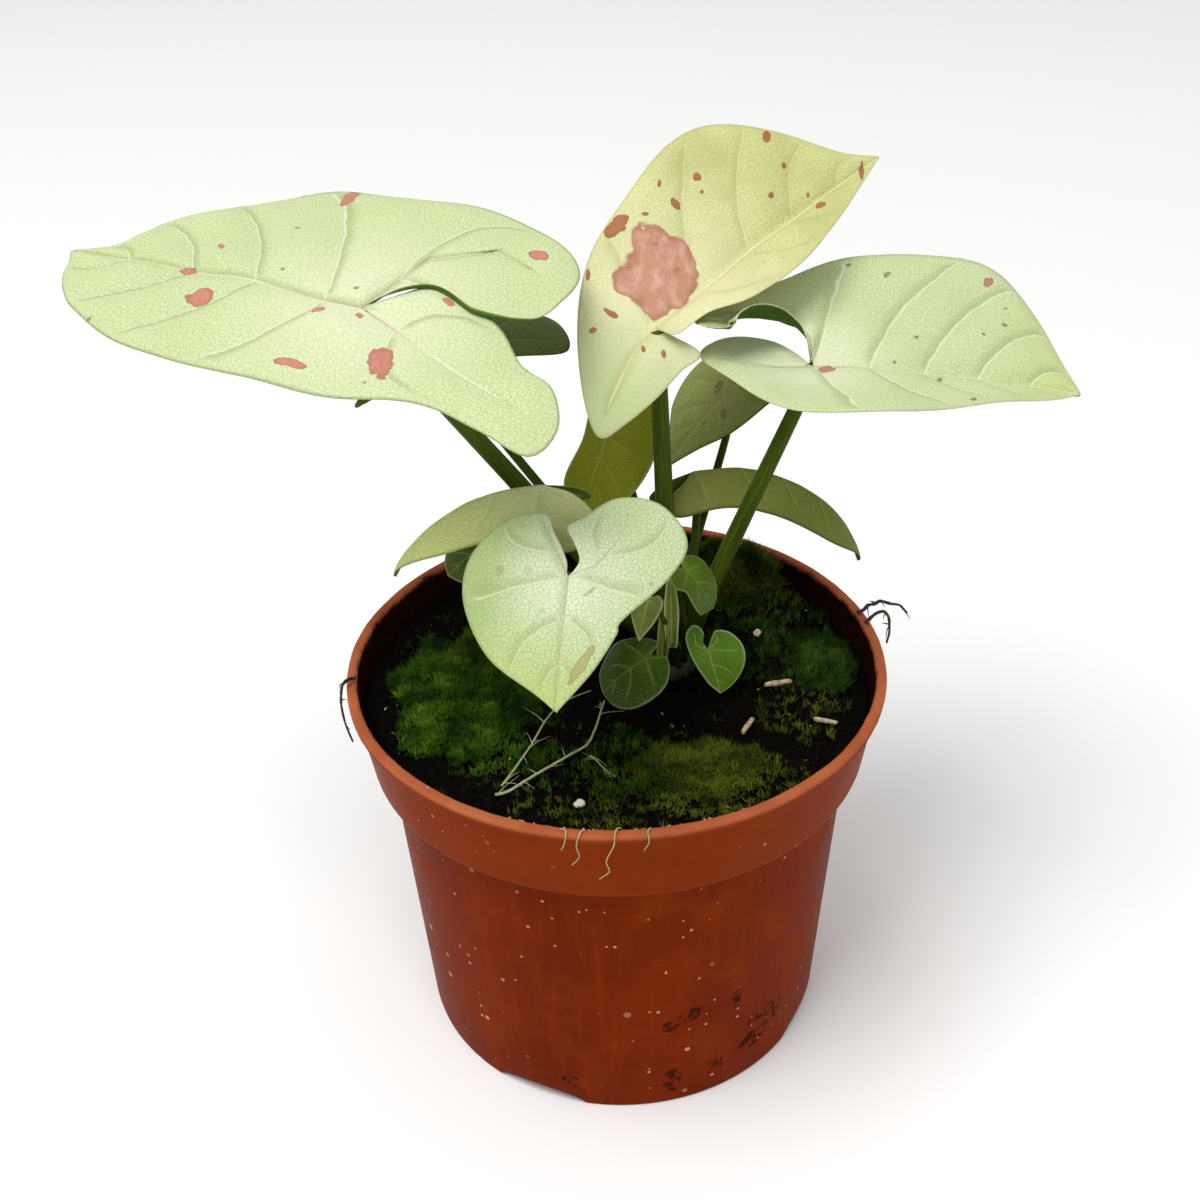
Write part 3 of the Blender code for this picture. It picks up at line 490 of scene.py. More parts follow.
def flatHalf(shape, leaf, half, layers):
    lines = veinEnds(leaf, half)
    columns, rows = len(lines) - 1, blade["rows"]
    turnNumber, lobeNumber = leaf["veinCounts"]
    lastNumber = int(turnNumber + lobeNumber) - 0.5
    margin, outward, rollShare = innerMargin(leaf, half)
    laid = bmesh.ops.create_grid(shape, x_segments=columns, y_segments=rows, size=1)["verts"]
    for point in laid:
        index = round((point.co.x + 1) / 2 * columns)
        share = (point.co.y + 1) / 2
        root, end, number = lines[index]
        other = lines[index + 1 if index < columns else index - 1]
        here, beside = root + (end - root) * share, other[0] + (other[1] - other[0]) * share
        span = hypot(*(end - root)) + 1e-6
        along, step = (end - root) / span, beside - here
        apart = abs(step[0] * along[1] - step[1] * along[0]) / max(abs(other[2] - lines[index][2]), 1e-4)
        # a vein sweeps towards the tip on its way out, or back where it leaves the lobe's own rib
        lean = max(-1, min(1, (turnNumber - number) / blade["sweepSpread"]))
        number = min(lastNumber, number + blade["sweep"] * lean * share ** blade["sweepPower"])
        ribHere = 1 - blade["ribTaper"] * max(0, here[0]) / leaf["length"]
        point.co.xy = here
        point[layers["half"]] = half
        point[layers["place"]] = (here[0], -here[1] if half else here[1], (1 - share) * span)
        point[layers["veins"]] = (number, apart, share * span / ribHere)
        if leaf["curl"][half][0]:
            near = np.argmin(((margin - here) ** 2).sum(axis=1))
            point[layers["roll"]] = (*outward[near], rollShare[near])
            point[layers["inner"]] = max(0.0, float((margin[near] - here) @ outward[near]),
                                         float(np.linalg.norm(margin[near] - here)) - 0.3)
    bmesh.ops.remove_doubles(shape, verts=laid, dist=blade["merge"])


def ripple(leaf, point, layers):
    # soft quilting between the side veins, a sunken midrib, and slow waves
    number, _, offRib = point[layers["veins"]]
    forward, sideways, inside = point[layers["place"]]
    fromHeart = hypot(forward, sideways)
    onLobe = min(1, max(0, number - leaf["veinCounts"][0]) / 0.8)
    swell = abs(sin(pi * number)) ** 0.75 * min(1, offRib / 5) * min(1, inside / 4)
    swell *= 1 - swells["calmLobe"] * onLobe
    rib = exp(-(offRib / swells["ribWidth"]) ** 2) * min(1, fromHeart / 4)
    slow = noise.noise(Vector((forward, sideways, leaf["length"])) * swells["slowScale"])
    slow *= min(1, fromHeart / 10)
    fine = noise.noise(Vector((forward, sideways, 7)) * swells["fineScale"]) * min(1, inside / 2)
    rise = leaf["quilt"] * swell - swells["ribDepth"] * rib + leaf["waves"] * slow
    return min(1, leaf["length"] / swells["fullSize"]) * rise + swells["fineHeight"] * fine


def curled(leaf, half, roll, inside, forward, across, above):
    # a lobe's inner margin rolled up; the leaf's curl gives (millimetres, degrees) for each half
    reach, turn = leaf["curl"][half]
    along, sideways, share = roll
    full = radians(turn) * share
    if full < 0.05 or inside >= reach:
        return forward, across, above
    angle, radius = full * (1 - inside / reach), reach / full
    shift = (radius - above) * sin(angle) - (reach - inside)
    lift = radius * (1 - cos(angle)) + above * cos(angle)
    return forward + along * shift, across + sideways * shift, lift


def growLeaf(node, leaf):
    # a leaf with a slot of its own stands for no solid: it is one more small leaf or scrap
    leaf = {**plainForm, **leaf}
    loose = "slot" in leaf
    shape = bmesh.new()
    layers = {"half": shape.verts.layers.int.new("half"),
              "place": shape.verts.layers.float_vector.new("leafPlace"),
              "veins": shape.verts.layers.float_vector.new("veinPlace"),
              "under": shape.verts.layers.float.new("underside"),
              "roll": shape.verts.layers.float_vector.new("roll"),
              "inner": shape.verts.layers.float.new("fromInner")}
    for half in (0, 1):
        flatHalf(shape, leaf, half, layers)
    thickness = blade["thickness"]
    for point in shape.verts:
        point.co.z = -0.5 * thickness
        point.co.y *= -1 if point[layers["half"]] else 1
        point[layers["under"]] = 1
    seam = [point for point in shape.verts if abs(point.co.y) < 0.001 and point.co.x > -0.001]
    bmesh.ops.remove_doubles(shape, verts=seam, dist=blade["merge"])
    raised = bmesh.ops.extrude_face_region(shape, geom=shape.faces[:])["geom"]
    top = [item for item in raised if isinstance(item, bmesh.types.BMVert)]
    for point in top:
        point[layers["under"]] = 0
    bmesh.ops.translate(shape, verts=top, vec=(0, 0, thickness))
    place, reach = standing(leaf), reachOf(leaf)
    for point in shape.verts:
        half = point[layers["half"]]
        across = -point.co.y if half else point.co.y
        thin = min(1, blade["thinnest"] + point[layers["place"]][2] / blade["thinEdge"])
        offRib = point[layers["veins"]][2] / blade["ribBelowWidth"]
        ribBelow = point[layers["under"]] * blade["ribBelow"] * exp(-offRib ** 2)
        above = point.co.z * thin + ripple(leaf, point, layers) - ribBelow
        roll, inside = point[layers["roll"]], point[layers["inner"]]
        rolled = curled(leaf, half, roll, inside, point.co.x, across, above)
        point.co = place @ shaped(leaf, reach, *rolled, half) * mm
    bmesh.ops.recalc_face_normals(shape, faces=shape.faces)
    if shape.calc_volume(signed=True) < 0:
        bmesh.ops.reverse_faces(shape, faces=shape.faces)
    name = camel(node)
    skin = leafMaterial(name, leaf["look"], leaf["length"])
    addPiece(name, shape, skin, [] if loose else [node])
    growStalk(node + "_stalk" if loose else node.replace("leaf", "stalk"), leaf, loose)


# stalks: shares are of each leaf's own stalk width, the rest in millimetres
stalks = {"footShare": 1.02, "topShare": 0.85, "rise": 1.5, "lean": 0.13, "stops": 44, "sides": 16,
          "sink": 3.0, "below": 1.25, "oval": 0.92, "sheathSwell": 0.16, "topSwell": 0.12, "crownTop": 94.2}
crown = {"middle": (12.0, 5.0)}


def makeStalkMaterial():
    material, nodes, shader = newMaterial("stalkSkin")
    strand = nodes.stored("strand")
    streaks = nodes.noise(nodes.vector("MULTIPLY", strand, (9, 9, 0.08)), 1.0, 3.0, 0.6)
    height = nodes.split(nodes.place())[2]
    colour = nodes.mix(nodes.fade(streaks, 0.35, 0.7), tone("324009"), tone("4b5b17"))
    colour = nodes.mix(nodes.fade(height, 0.125, 0.17, 0.0, 0.45), colour, tone("62721c"))
    colour = nodes.mix(nodes.fade(height, 0.094, 0.112, 0.6, 0.0), colour, tone("1a2406"))
    pale = nodes.specks(nodes.vector("MULTIPLY", strand, (4, 4, 0.5)), 1.3, 0.22, 0.3)
    colour = nodes.over(colour, pale, 0.25, "a3b46a")
    shader.inputs["IOR"].default_value = 1.12
    finish(nodes, shader, colour, nodes.fade(streaks, 0.2, 0.8, 0.34, 0.5), streaks, 0.4, 0.2)
    return material


stalkSkin = makeStalkMaterial()


def growStalk(node, leaf, loose):
    # one curve from the crown to the blade's heart, thicker at both ends
    normal = (standing(leaf).to_3x3() @ up).normalized()
    tent = tan(radians(max(0, -min(leaf["fold"]))))
    end = Vector(leaf["at"]) - normal * (0.05 + tent * stalks["topShare"] * leaf["stalk"] / 2)
    (x, y), (fx, fy) = crown["middle"], leaf["foot"]
    foot = Vector((x + fx, y + fy, stalks["crownTop"]))
    leave = foot + up * stalks["rise"]
    reach = (end - leave).length
    towards = leave + (end - leave).normalized().lerp(up, stalks["lean"]) * reach / 3
    meet = end - normal * min(leaf["grip"], reach / 3)
    route, widths = [foot - up * stalks["sink"], foot], [stalks["below"]] * 2
    for step in range(stalks["stops"] + 1):
        t = step / stalks["stops"]
        back = 1 - t
        route.append(leave * back ** 3 + towards * 3 * t * back ** 2
                     + meet * 3 * t * t * back + end * t ** 3)
        swell = stalks["sheathSwell"] * back ** 2 + stalks["topSwell"] * exp(-(back / 0.05) ** 2)
        taper = (stalks["topShare"] - stalks["footShare"]) * min(1, t * 1.3)
        widths.append(stalks["footShare"] + taper + swell)
    mesh = sweep(route, [width * leaf["stalk"] for width in widths], stalks["sides"], stalks["oval"])
    addPiece(camel(node), joinMeshes([mesh]), stalkSkin, [] if loose else [node])


# the thirteen leaves, then two withered sheaths and the tip of one more leaf: form and finish
# in each look, the painted shade beside the veins has its own colour and share
def growLeaves():
    growLeaf("leaf_left_big", {
        "at": (-48, 0, 177.5), "heading": 153.5, "pitch": 4, "roll": -18, "length": 75,
        "left": [(72.4, 3.4), (70.7, 7.7), (67, 12.2), (60, 17), (44, 23), (20, 24), (-3, 23), (-23, 18),
                 (-36, 19), (-47, 20), (-49, 12), (-44, 4.5), (-36.5, 2), (-28, -5.4), (-18, -9.4),
                 (-10.5, -11.3)],
        "right": [(69.6, 2.4), (65, 6), (61, 13.5), (49, 23), (29, 37), (-6, 41), (-25, 35), (-34, 28),
                  (-35, 17), (-33, 9), (-22, 4.5), (-11, 7.2)],
        "notches": ((-1, -1.4), (-0.75, 0.85)), "lobeVeins": ([(-25, 8)], [(-4.5, 18), (-15, 26.5)]),
        "curl": ((0, 0), (3.2, 125)), "curlSkew": 1.6,
        "fold": (0, 0), "cup": (-10, -14), "droop": 8, "lobeDrop": (10, 12), "twist": 3,
        "stalk": 4.0, "foot": (-4.6, 0.2), "grip": 5, "veinCounts": (4.5, 2), "quilt": 1.5, "waves": 1.3,
        "look": {
            "light": "dfe8b8", "deep": "b9c98c", "wash": "c3d09c", "heart": "e8edc8", "heartReach": 0.45,
            "vein": "f0f0d6", "rib": "bf9880", "margin": "93a160", "marginShare": 0.6, "netShare": 0.1,
            "veinDip": -1.4, "bump": 0.6, "hollow": "9aaa6c", "hollowShare": 0.55, "spotPaleShare": 0.35,
            "under": "5c7a24", "underDeep": "3d5a14", "underVein": "9fae62",
            "spots": [
                ("c97f70", 0.95, [(-11.6, 11.9, 4.3, 2.5, -55), (32.9, 8.1, 3.0, 2.1, 32),
                                  (42.2, 0.3, 2.4, 1.3, 3), (24.5, -34.2, 5.0, 1.7, -75),
                                  (-24.6, -28.2, 2.2, 1.6, 32), (3.8, 19.2, 3.6, 1.0, 11),
                                  (7.2, 3.8, 1.3, 1.2, 30), (38.6, -7.5, 1.1, 0.7, -33),
                                  (36.5, -33.1, 1.3, 0.9, -16), (-1.6, 2.6, 1.0, 0.7, -50),
                                  (-15.7, -7.3, 1.6, 0.9, -14)]),
                ("6f6a3c", 0.7, [(20.2, -3.7, 0.6, 0.4, 0), (3.1, -3.9, 0.8, 0.4, 20),
                                 (61.9, -9.7, 0.8, 0.4, 0), (53.6, 19.4, 0.8, 0.5, 40),
                                 (26.2, -17.6, 0.7, 0.4, 0), (-11.3, 17.6, 0.4, 0.3, 0)])]}})
    growLeaf("leaf_top_pink", {
        "at": (10, 13, 166.5), "heading": 35, "pitch": 24, "roll": 28, "length": 67,
        "left": [(60, 6), (51, 17), (38, 26), (26, 28), (11, 24), (-1, 20), (-11, 12), (-21, 0),
                 (-25, -8), (-19, -10.3), (-10.7, -11), (-2.5, -10.2), (3.4, -9.9)],
        "right": [(56, 4), (31, 14), (17, 13), (9, 7), (1, 6)],
        "notches": ((0.3, -1.0), (-0.4, 1.1)), "lobeVeins": ([(-8, -1)], []),
        "fold": (16, 26), "cup": (6, 22), "droop": 10, "lobeDrop": (22, 10), "twist": 1,
        "stalk": 4.0, "foot": (0.4, 1.2), "grip": 6, "veinCounts": (5, 1.5), "quilt": 0.8, "waves": 1.3,
        "look": {
            "light": "dfe2a6", "deep": "bcbf78", "wash": "bab878", "heart": "f2efc8", "heartReach": 0.6,
            "patchShare": 0.55, "hollow": "a3a354", "hollowShare": 0.3, "spotPaleShare": 0.6,
            "vein": "f0efc4", "rib": "dccb94", "margin": "c8bf86", "marginShare": 0.45, "netShare": 0.08,
            "specks": 0.16, "bump": 0.45, "veinShare": 0.2,
            "under": "9aa046", "underDeep": "737c2c", "underVein": "b9bd6c", "veinDip": 0.8,
            "shades": [("bccb95", (4, 4), (-16, -6), 0.8)],
            "spots": [
                ("c48a74", 0.95, [(6.6, 7.8, 7.6, 7.6, 0), (10.6, 13.2, 5.2, 3.9, -70),
                                  (1.8, 10.6, 3.8, 3.5, 60), (12.6, 6.6, 4.2, 3.6, 70),
                                  (8.4, 2.8, 5.0, 3.1, 5), (2.6, 3.4, 3.4, 3.1, 45),
                                  (12, 9, 4.6, 4.2, 0), (10.4, 12.4, 4.4, 4.4, 0)]),
                ("a2633f", 0.95, [(7.1, 20.9, 3.5, 1.8, 2), (47.3, 17.1, 1.9, 0.9, 47),
                                  (20.4, 16.9, 1.5, 0.8, 85), (60.5, -0.6, 2.9, 0.5, 43),
                                  (27.9, 18.7, 1.0, 0.9, 32), (46.1, -1.7, 1.5, 1.0, 13),
                                  (38.7, 6.3, 0.8, 0.6, 41), (20.2, 22.3, 0.9, 0.5, 47),
                                  (-3.5, 17.3, 1.2, 0.5, 50), (-5.4, 8.0, 1.8, 0.7, -77),
                                  (13.4, 18.8, 0.8, 0.5, -34), (45.7, 10.1, 0.9, 0.5, 46),
                                  (26.6, 15.5, 0.5, 0.4, 8), (-10.2, 8.1, 0.8, 0.6, -46),
                                  (46, 2, 0.6, 0.4, 35), (-3.0, -5.5, 1.0, 0.5, 63),
                                  (-5.3, -1.7, 0.8, 0.5, 69)])]}})
    growLeaf("leaf_right_mint", {
        "at": (42, 8, 159), "heading": 0, "pitch": -3, "roll": 17, "length": 57,
        "left": [(51, 18), (42, 31), (28, 34), (10, 31), (-6, 24), (-19, 18), (-25.5, 10), (-24.5, 3.5),
                 (-19, -0.5), (-12, 2.2), (-5, 2.6)],
        "right": [(50, 4), (35, 12), (16, 21), (2, 24), (-9, 21), (-18, 7), (-23, -5), (-20, -12),
                  (-14, -15.5), (-8, -13), (-3.4, -6)],
        "notches": ((-0.5, 1.0), (-0.7, -0.85)),
        "lobeVeins": ([(-3, 11), (-6.5, 13.5), (-12.5, 15.5)], [(-8, 0)]), "curl": ((12, 102), (5, 30)),
        "curlSkew": 1.5,
        "fold": (8, 20), "cup": (0, 0), "droop": 11, "lobeDrop": (-20, 0), "twist": 1,
        "stalk": 3.7, "foot": (5.0, -0.2), "grip": 4, "veinCounts": (5, 1.5), "quilt": 1.2, "waves": 1.2,
        "look": {
            "light": "dae4b6", "deep": "b4c48a", "wash": "bccb94", "heart": "e4ebc8", "heartReach": 0.4,
            "hollow": "9cae72", "hollowShare": 0.5, "spotPaleShare": 0.3, "vein": "eceed2",
            "rib": "c09c86", "margin": "cfcaa2", "marginShare": 0.55, "netShare": 0.12, "veinDip": -1.2,
            "bump": 0.5,
            "under": "45620f", "underDeep": "2e4708", "underVein": "7d9440",
            # a3a24a is a painted shadow of the leaf above, yellowed by light shining through it, on the far
            # lobe's tip
            "shades": [("c6d184", (34, 6), (56, 0), 0.6), ("a3a24a", (-12, 6), (-24, 15), 0.7)],
            "spots": [
                ("b57f6a", 0.95, [(2.6, -1.8, 2.3, 1.7, 66), (39.0, 26.5, 1.6, 1.2, 54)]),
                ("6b6b42", 0.75, [(17.0, 25.4, 1.2, 0.6, 50), (9.1, 28.3, 0.6, 0.4, 10),
                                  (42, 19.4, 0.6, 0.4, 0), (41, 14.2, 0.7, 0.5, 0),
                                  (36, 10.6, 0.5, 0.4, 0), (21.9, 8.3, 0.6, 0.4, 0),
                                  (30, -12.6, 0.9, 0.5, 30), (25.2, -3.6, 1.4, 0.6, 71),
                                  (16.7, 1.9, 0.5, 0.4, 0)])]}})
    growLeaf("leaf_front_heart", {
        "at": (-8.7, -33, 135.6), "heading": -97, "pitch": -30, "roll": 0, "length": 27,
        "left": [(19, 6.3), (11.5, 10.2), (8.5, 11), (-1, 19), (-10, 22.3), (-18.5, 16.5), (-19.5, 8),
                 (-14, 1.6), (-11.3, -1.4), (-7.7, 0.2), (-3.8, 1.8)],
        "right": [(24, 4), (17, 14), (6, 20), (-4, 20), (-12.5, 14.5), (-14.6, 9), (-14, 5.6),
                  (-10.2, 4), (-6.3, 1.9), (-2.9, 0.5)],
        "notches": ((-0.9, 0.8), (-0.9, 0.5)), "lobeVeins": ([(-2.5, 5), (-9, 9)], []),
        "fold": (0, 0), "cup": (-10, -10), "droop": 17, "lobeDrop": (11, 12), "twist": 0,
        "stalk": 2.2, "foot": (-1.0, -3.4), "grip": 6, "veinCounts": (3, 2.5), "quilt": 0.65,
        "waves": 1.2,
        "look": {
            "hollow": "94a86c", "hollowShare": 0.45, "light": "dce6bc", "deep": "afc28e",
            "wash": "b4c68c", "heart": "e6edd0", "heartReach": 0.65, "spotRim": "9a8a62",
            "vein": "dfe6ba", "rib": "b39a7c", "margin": "98a96a", "marginShare": 0.6, "netShare": 0.4,
            "veinWidth": 0.3, "net": "7f955c", "netScale": 1.0, "ribWidth": 0.35, "ribReach": 1.4,
            "veinDip": -1.2, "bump": 0.5,
            "under": "7d8f45", "underDeep": "5c7030", "underVein": "a5b26c",
            # 9cb26e darkens the right half towards its edge: painted shade, on a side that is also greener
            "shades": [("9cb26e", (-2, -6), (-3, -17), 0.75), ("b4c66c", (8, -5), (22, -9), 0.6)],
            "spots": [
                ("a08c60", 0.4, [(-0.7, -13.5, 1.2, 1.0, 0)]),
                ("9fb47a", 0.35, [(-0.9, -7.8, 1.1, 1.0, 0)]),
                ("9a8f70", 0.55, [(3.1, 4.5, 1.6, 0.5, -46), (0.4, 15.9, 0.5, 0.4, 0),
                                  (7.8, -4.1, 0.3, 0.3, 0)]),
                ("a39a58", 0.75, [(17.9, 4.2, 4.8, 1.0, -30)])]}})
    growLeaf("leaf_left_arch", {
        "at": (-14.4, -9.2, 142.4), "heading": 185, "pitch": 3, "roll": 0, "length": 39,
        "left": [(26, 7), (14, 10), (1, 14), (-8, 13), (-12, 7), (-7, 2)],
        "right": [(27, 6), (15, 12), (2, 15), (-7, 13), (-12, 8), (-7, 2)],
        "fold": (-40, -40), "cup": (-10, -10), "droop": 68, "lobeDrop": (10, 10), "twist": 0,
        "stalk": 2.0, "foot": (-4.4, -4.2), "grip": 6, "veinCounts": (4, 1.5), "quilt": 0.4,
        "look": {
            "spotRim": "7c6c44", "veinShare": 0.35, "light": "c6cc86", "deep": "a2a962",
            "wash": "adb473", "heart": "ccd19a", "vein": "cdd09c", "rib": "b9a884", "margin": "6c7a3c",
            "netShare": 0.2, "net": "828e50",
            "under": "66752e", "underDeep": "4c5c20", "underVein": "8f9a56",
            "spots": [
                ("8c7c50", 0.7, [(6, -5, 0.8, 0.4, 20), (15, -3, 0.6, 0.4, 0), (9, -9, 0.5, 0.4, 0),
                                 (20, -4, 0.5, 0.3, 0), (2, -7, 0.6, 0.4, 60)])]}})
    growLeaf("leaf_upright", {
        "at": (-0.7, 24, 136.2), "heading": 224, "pitch": -61, "roll": 0, "length": 20.5,
        "left": [(17, 5), (10, 10), (1, 12), (-7, 11), (-12, 6), (-7, 2)],
        "right": [(18, 3), (12, 6), (2, 5), (-7, 6), (-12, 4), (-7, 1)],
        "fold": (-12, 30), "cup": (-20, 45), "droop": 0, "lobeDrop": (10, 10), "twist": 0,
        "stalk": 2.0, "foot": (-1.0, 5.4), "grip": 6, "veinCounts": (4, 1.5), "quilt": 0.5,
        "look": {
            "light": "a7aa2e", "deep": "7f8418", "wash": "91961f", "heart": "999c2a", "vein": "aeb048",
            "veinShare": 0.35, "rib": "b0b260", "margin": "b9b873", "netShare": 0.15, "net": "6a7018",
            "under": "a2a444", "underDeep": "80832c", "underVein": "b9ba62"}})
    growLeaf("leaf_back", {
        "at": (28.4, 42, 139), "heading": 216, "pitch": -32, "roll": 0, "length": 25.5,
        "left": [(17, 5), (10, 9), (1, 11), (-8, 12), (-13, 7), (-7, 2)],
        "right": [(17, 6), (10, 12), (1, 15), (-8, 13), (-13, 8), (-7, 2)],
        "fold": (0, 0), "cup": (-10, -10), "droop": 8, "lobeDrop": (10, 10), "twist": 0,
        "stalk": 2.0, "foot": (1.8, 6.8), "grip": 6, "veinCounts": (4, 1.5), "quilt": 0.5,
        "look": {
            "light": "9ba85a", "deep": "727a34", "wash": "a0aa62", "heart": "847f48", "vein": "a0a566",
            "veinShare": 0.3, "ribShare": 0.45, "spotRim": "6e5a34", "rib": "8f7f54", "margin": "52502a",
            "netShare": 0.2, "net": "5f622c", "specks": 0.25,
            "under": "6d7434", "underDeep": "525a24", "underVein": "8c9250",
            "spots": [
                ("6e5a34", 0.8, [(2, -3, 2.2, 1.0, 30), (7, 4, 1.4, 0.7, 60), (-3, 5, 1.2, 0.7, 0),
                                 (11, 1, 1.0, 0.6, 20)])]}})
    growLeaf("leaf_right_arch", {
        "at": (18.5, 19, 129.4), "heading": 4, "pitch": 9, "roll": 0, "length": 51,
        "left": [(29, 5), (16, 11), (2, 13), (-7, 11), (-12, 6), (-7, 2)],
        "right": [(39, 7), (20, 9), (4, 9), (-6, 9), (-9, 6), (-3, 2)],
        "fold": (-60, -45), "cup": (-10, -10), "droop": 85, "lobeDrop": (10, 10), "twist": 0,
        "stalk": 2.0, "foot": (4.9, 3.8), "grip": 6, "veinCounts": (5, 1.5), "quilt": 0.4,
        "look": {
            "light": "7f8a3c", "deep": "616d26", "wash": "8a9448", "heart": "8e8b48", "vein": "939c56",
            "rib": "857a42", "margin": "434d1a", "netShare": 0.25, "net": "5f6c2c",
            "under": "6b7a34", "underDeep": "505e24", "underVein": "8c9850",
            "shades": [("6c7a30", (18, 0), (48, 0), 0.7)]}})
    growLeaf("leaf_under_left", {
        "at": (-33.2, 15, 157.2), "heading": 188, "pitch": -8, "roll": -8, "length": 22,
        "left": [(16, 1), (7, 4), (-1, 7), (-11, 7), (-16, 5), (-9, 1.5)],
        "right": [(17, 7), (8, 13), (-1, 17), (-14, 19), (-24, 12), (-25, 1), (-13, 0.8)],
        "lobeVeins": ([], [(-11, 7)]),
        "fold": (0, 3), "cup": (-10, -6), "droop": 20, "lobeDrop": (9, 11), "twist": 3,
        "stalk": 2.2, "foot": (-4.4, 4.2), "grip": 6, "veinCounts": (3, 2.5), "quilt": 0.5,
        "look": {
            "light": "7d8a4a", "deep": "5b6a2c", "wash": "6f7d3c", "heart": "7c8848", "vein": "98a066",
            "rib": "98a066", "margin": "46541e", "netShare": 0.25, "net": "4e5c26",
            "under": "5d6e2c", "underDeep": "46571c", "underVein": "84924c"}})
    smallForm = {"cup": (-10, -10), "lobeDrop": (10, 10), "twist": 0, "veinCounts": (3, 1.5), "quilt": 0.9}
    growLeaf("leaf_small_olive", {
        **smallForm, "at": (15.6, -2, 116.6), "heading": -25, "pitch": -42, "roll": 0, "length": 10.2,
        "left": [(9.3, 3), (5.8, 6), (1.1, 6.4), (-1.8, 4.2), (-2.2, 1.4)],
        "right": [(9.2, 3.5), (8.4, 5.6), (5.8, 6.2), (2.6, 5.6), (0.4, 7.4), (-1.8, 6.2), (-2.4, 2.2)],
        "fold": (8, 8), "droop": 20,
        "stalk": 1.2, "foot": (3.4, -4.4), "grip": 3,
        "look": {
            "light": "557018", "deep": "3b520a", "wash": "486210", "heart": "5f7a20", "vein": "6c8430",
            "rib": "6c8430", "margin": "8a9a60", "marginShare": 0.5, "netShare": 0.2, "roughness": 0.4,
            "under": "5a7022", "underDeep": "425614", "underVein": "7d9340"}})
    growLeaf("leaf_small_notched", {
        **smallForm, "at": (20.2, -5.8, 98.5), "heading": -66, "pitch": -46, "roll": 6, "length": 9.9,
        "left": [(8.5, 3.6), (5.1, 7), (1.1, 7.8), (-2.4, 5.9), (-3.7, 3.2), (-2.8, 1.9)],
        "right": [(6.5, 2.4), (0.9, 4.2), (-4, 4.2), (-6.1, 2.2), (-5.8, 0.6), (-4, -0.3), (-1.9, 0.6)],
        "notches": ((-0.5, 0.25), (-0.6, 0.02)), "lobeVeins": ([(-1.2, 2.6)], [(-1.6, 2.4)]),
        "fold": (10, 10), "droop": 15, "lobeDrop": (-5, -5),
        "stalk": 1.2, "foot": (6.9, -3.0), "grip": 2.5,
        "look": {
            "light": "5f8612", "deep": "47680c", "wash": "527810", "heart": "6a9020", "vein": "93ac50",
            "rib": "93ac50", "margin": "b9c49a", "marginShare": 0.5, "netShare": 0.15, "roughness": 0.38,
            "veinWidth": 0.25, "ribWidth": 0.4,
            "under": "648226", "underDeep": "4a6416", "underVein": "93a852"}})
    growLeaf("leaf_small_round", {
        **smallForm, "at": (6.4, -16, 104), "heading": -157, "pitch": -22, "roll": -18, "length": 12,
        "left": [(11.6, 4.2), (9.2, 7.1), (5.4, 8.3), (1.1, 8.1), (-2, 6.2), (-3.8, 2.4)],
        "right": [(10.3, 4.2), (6.9, 7.1), (3.8, 8.5), (0.7, 7.5), (-2.4, 5), (-4.1, 1.9)],
        "fold": (-3, -3), "cup": (-16, -16), "droop": 24, "lobeDrop": (12, 12),
        "stalk": 1.3, "foot": (-2.4, -7.0), "grip": 3, "quilt": 1.6, "waves": 1.6,
        "look": {
            "light": "4d6a12", "deep": "263c06", "wash": "34500a", "heart": "557418", "vein": "6c8a2c",
            "rib": "6c8a2c", "margin": "8a9a5c", "netShare": 0.2, "roughness": 0.3, "shine": 0.2,
            "under": "405a14", "underDeep": "2c420a", "underVein": "64802c"}})
    growLeaf("leaf_small_pale", {
        **smallForm, "at": (7.2, -14, 117.3), "heading": -125, "pitch": -58, "roll": 0, "length": 9,
        "width": 3.8, "lobe": 1.6,
        "fold": (10, 10), "cup": (0, 0), "droop": 10, "lobeDrop": (0, 0),
        "stalk": 1.1, "foot": (2.0, -6.6), "grip": 3,
        "look": {
            "light": "8a9848", "deep": "6c7a2e", "wash": "7c8a3c", "heart": "929f50", "vein": "a8b26c",
            "rib": "a8b26c", "margin": "b4bb8c", "marginShare": 0.7, "netShare": 0.15,
            "under": "8a9848", "underDeep": "6c7a30", "underVein": "a7b268"}})
    growLeaf("sheath_pale", {
        **smallForm, "slot": "leaf_small_pale", "at": (12.2, -8, 102.5), "heading": 92, "pitch": 80,
        "roll": 0, "length": 14.5,
        "left": [(13, 1.0), (8, 1.7), (3, 1.7), (-1, 1.2)],
        "right": [(13, 1.0), (8, 1.8), (3, 1.6), (-1, 1.2)],
        "fold": (25, 25), "cup": (0, 0), "droop": 12, "lobeDrop": (0, 0),
        "stalk": 1.2, "foot": (1.0, -5.6), "grip": 2,
        "look": {
            "light": "7f8e3c", "deep": "5c6b22", "wash": "6d7c2c", "heart": "5c6b22", "vein": "98a35c",
            "rib": "98a35c", "margin": "b7bd8c", "marginShare": 0.8,
            "under": "6d7c2c", "underDeep": "525f1e", "underVein": "98a35c"}})
    growLeaf("sheath_olive", {
        **smallForm, "slot": "leaf_small_pale", "at": (10.2, -9, 99.5), "heading": 80, "pitch": 76,
        "roll": 0, "length": 13,
        "left": [(11.5, 0.8), (7, 1.3), (2, 1.5), (-1, 1.1)],
        "right": [(11.5, 0.8), (7, 1.3), (2, 1.5), (-1, 1.1)],
        "fold": (30, 30), "cup": (0, 0), "droop": 6, "lobeDrop": (0, 0),
        "stalk": 1.2, "foot": (-0.6, -5.6), "grip": 2,
        "look": {
            "light": "7f8432", "deep": "585e1a", "wash": "6c7226", "heart": "585e1a", "vein": "8f944c",
            "rib": "8f944c", "margin": "a3a866",
            "under": "6c7226", "underDeep": "4e5418", "underVein": "8f944c"}})
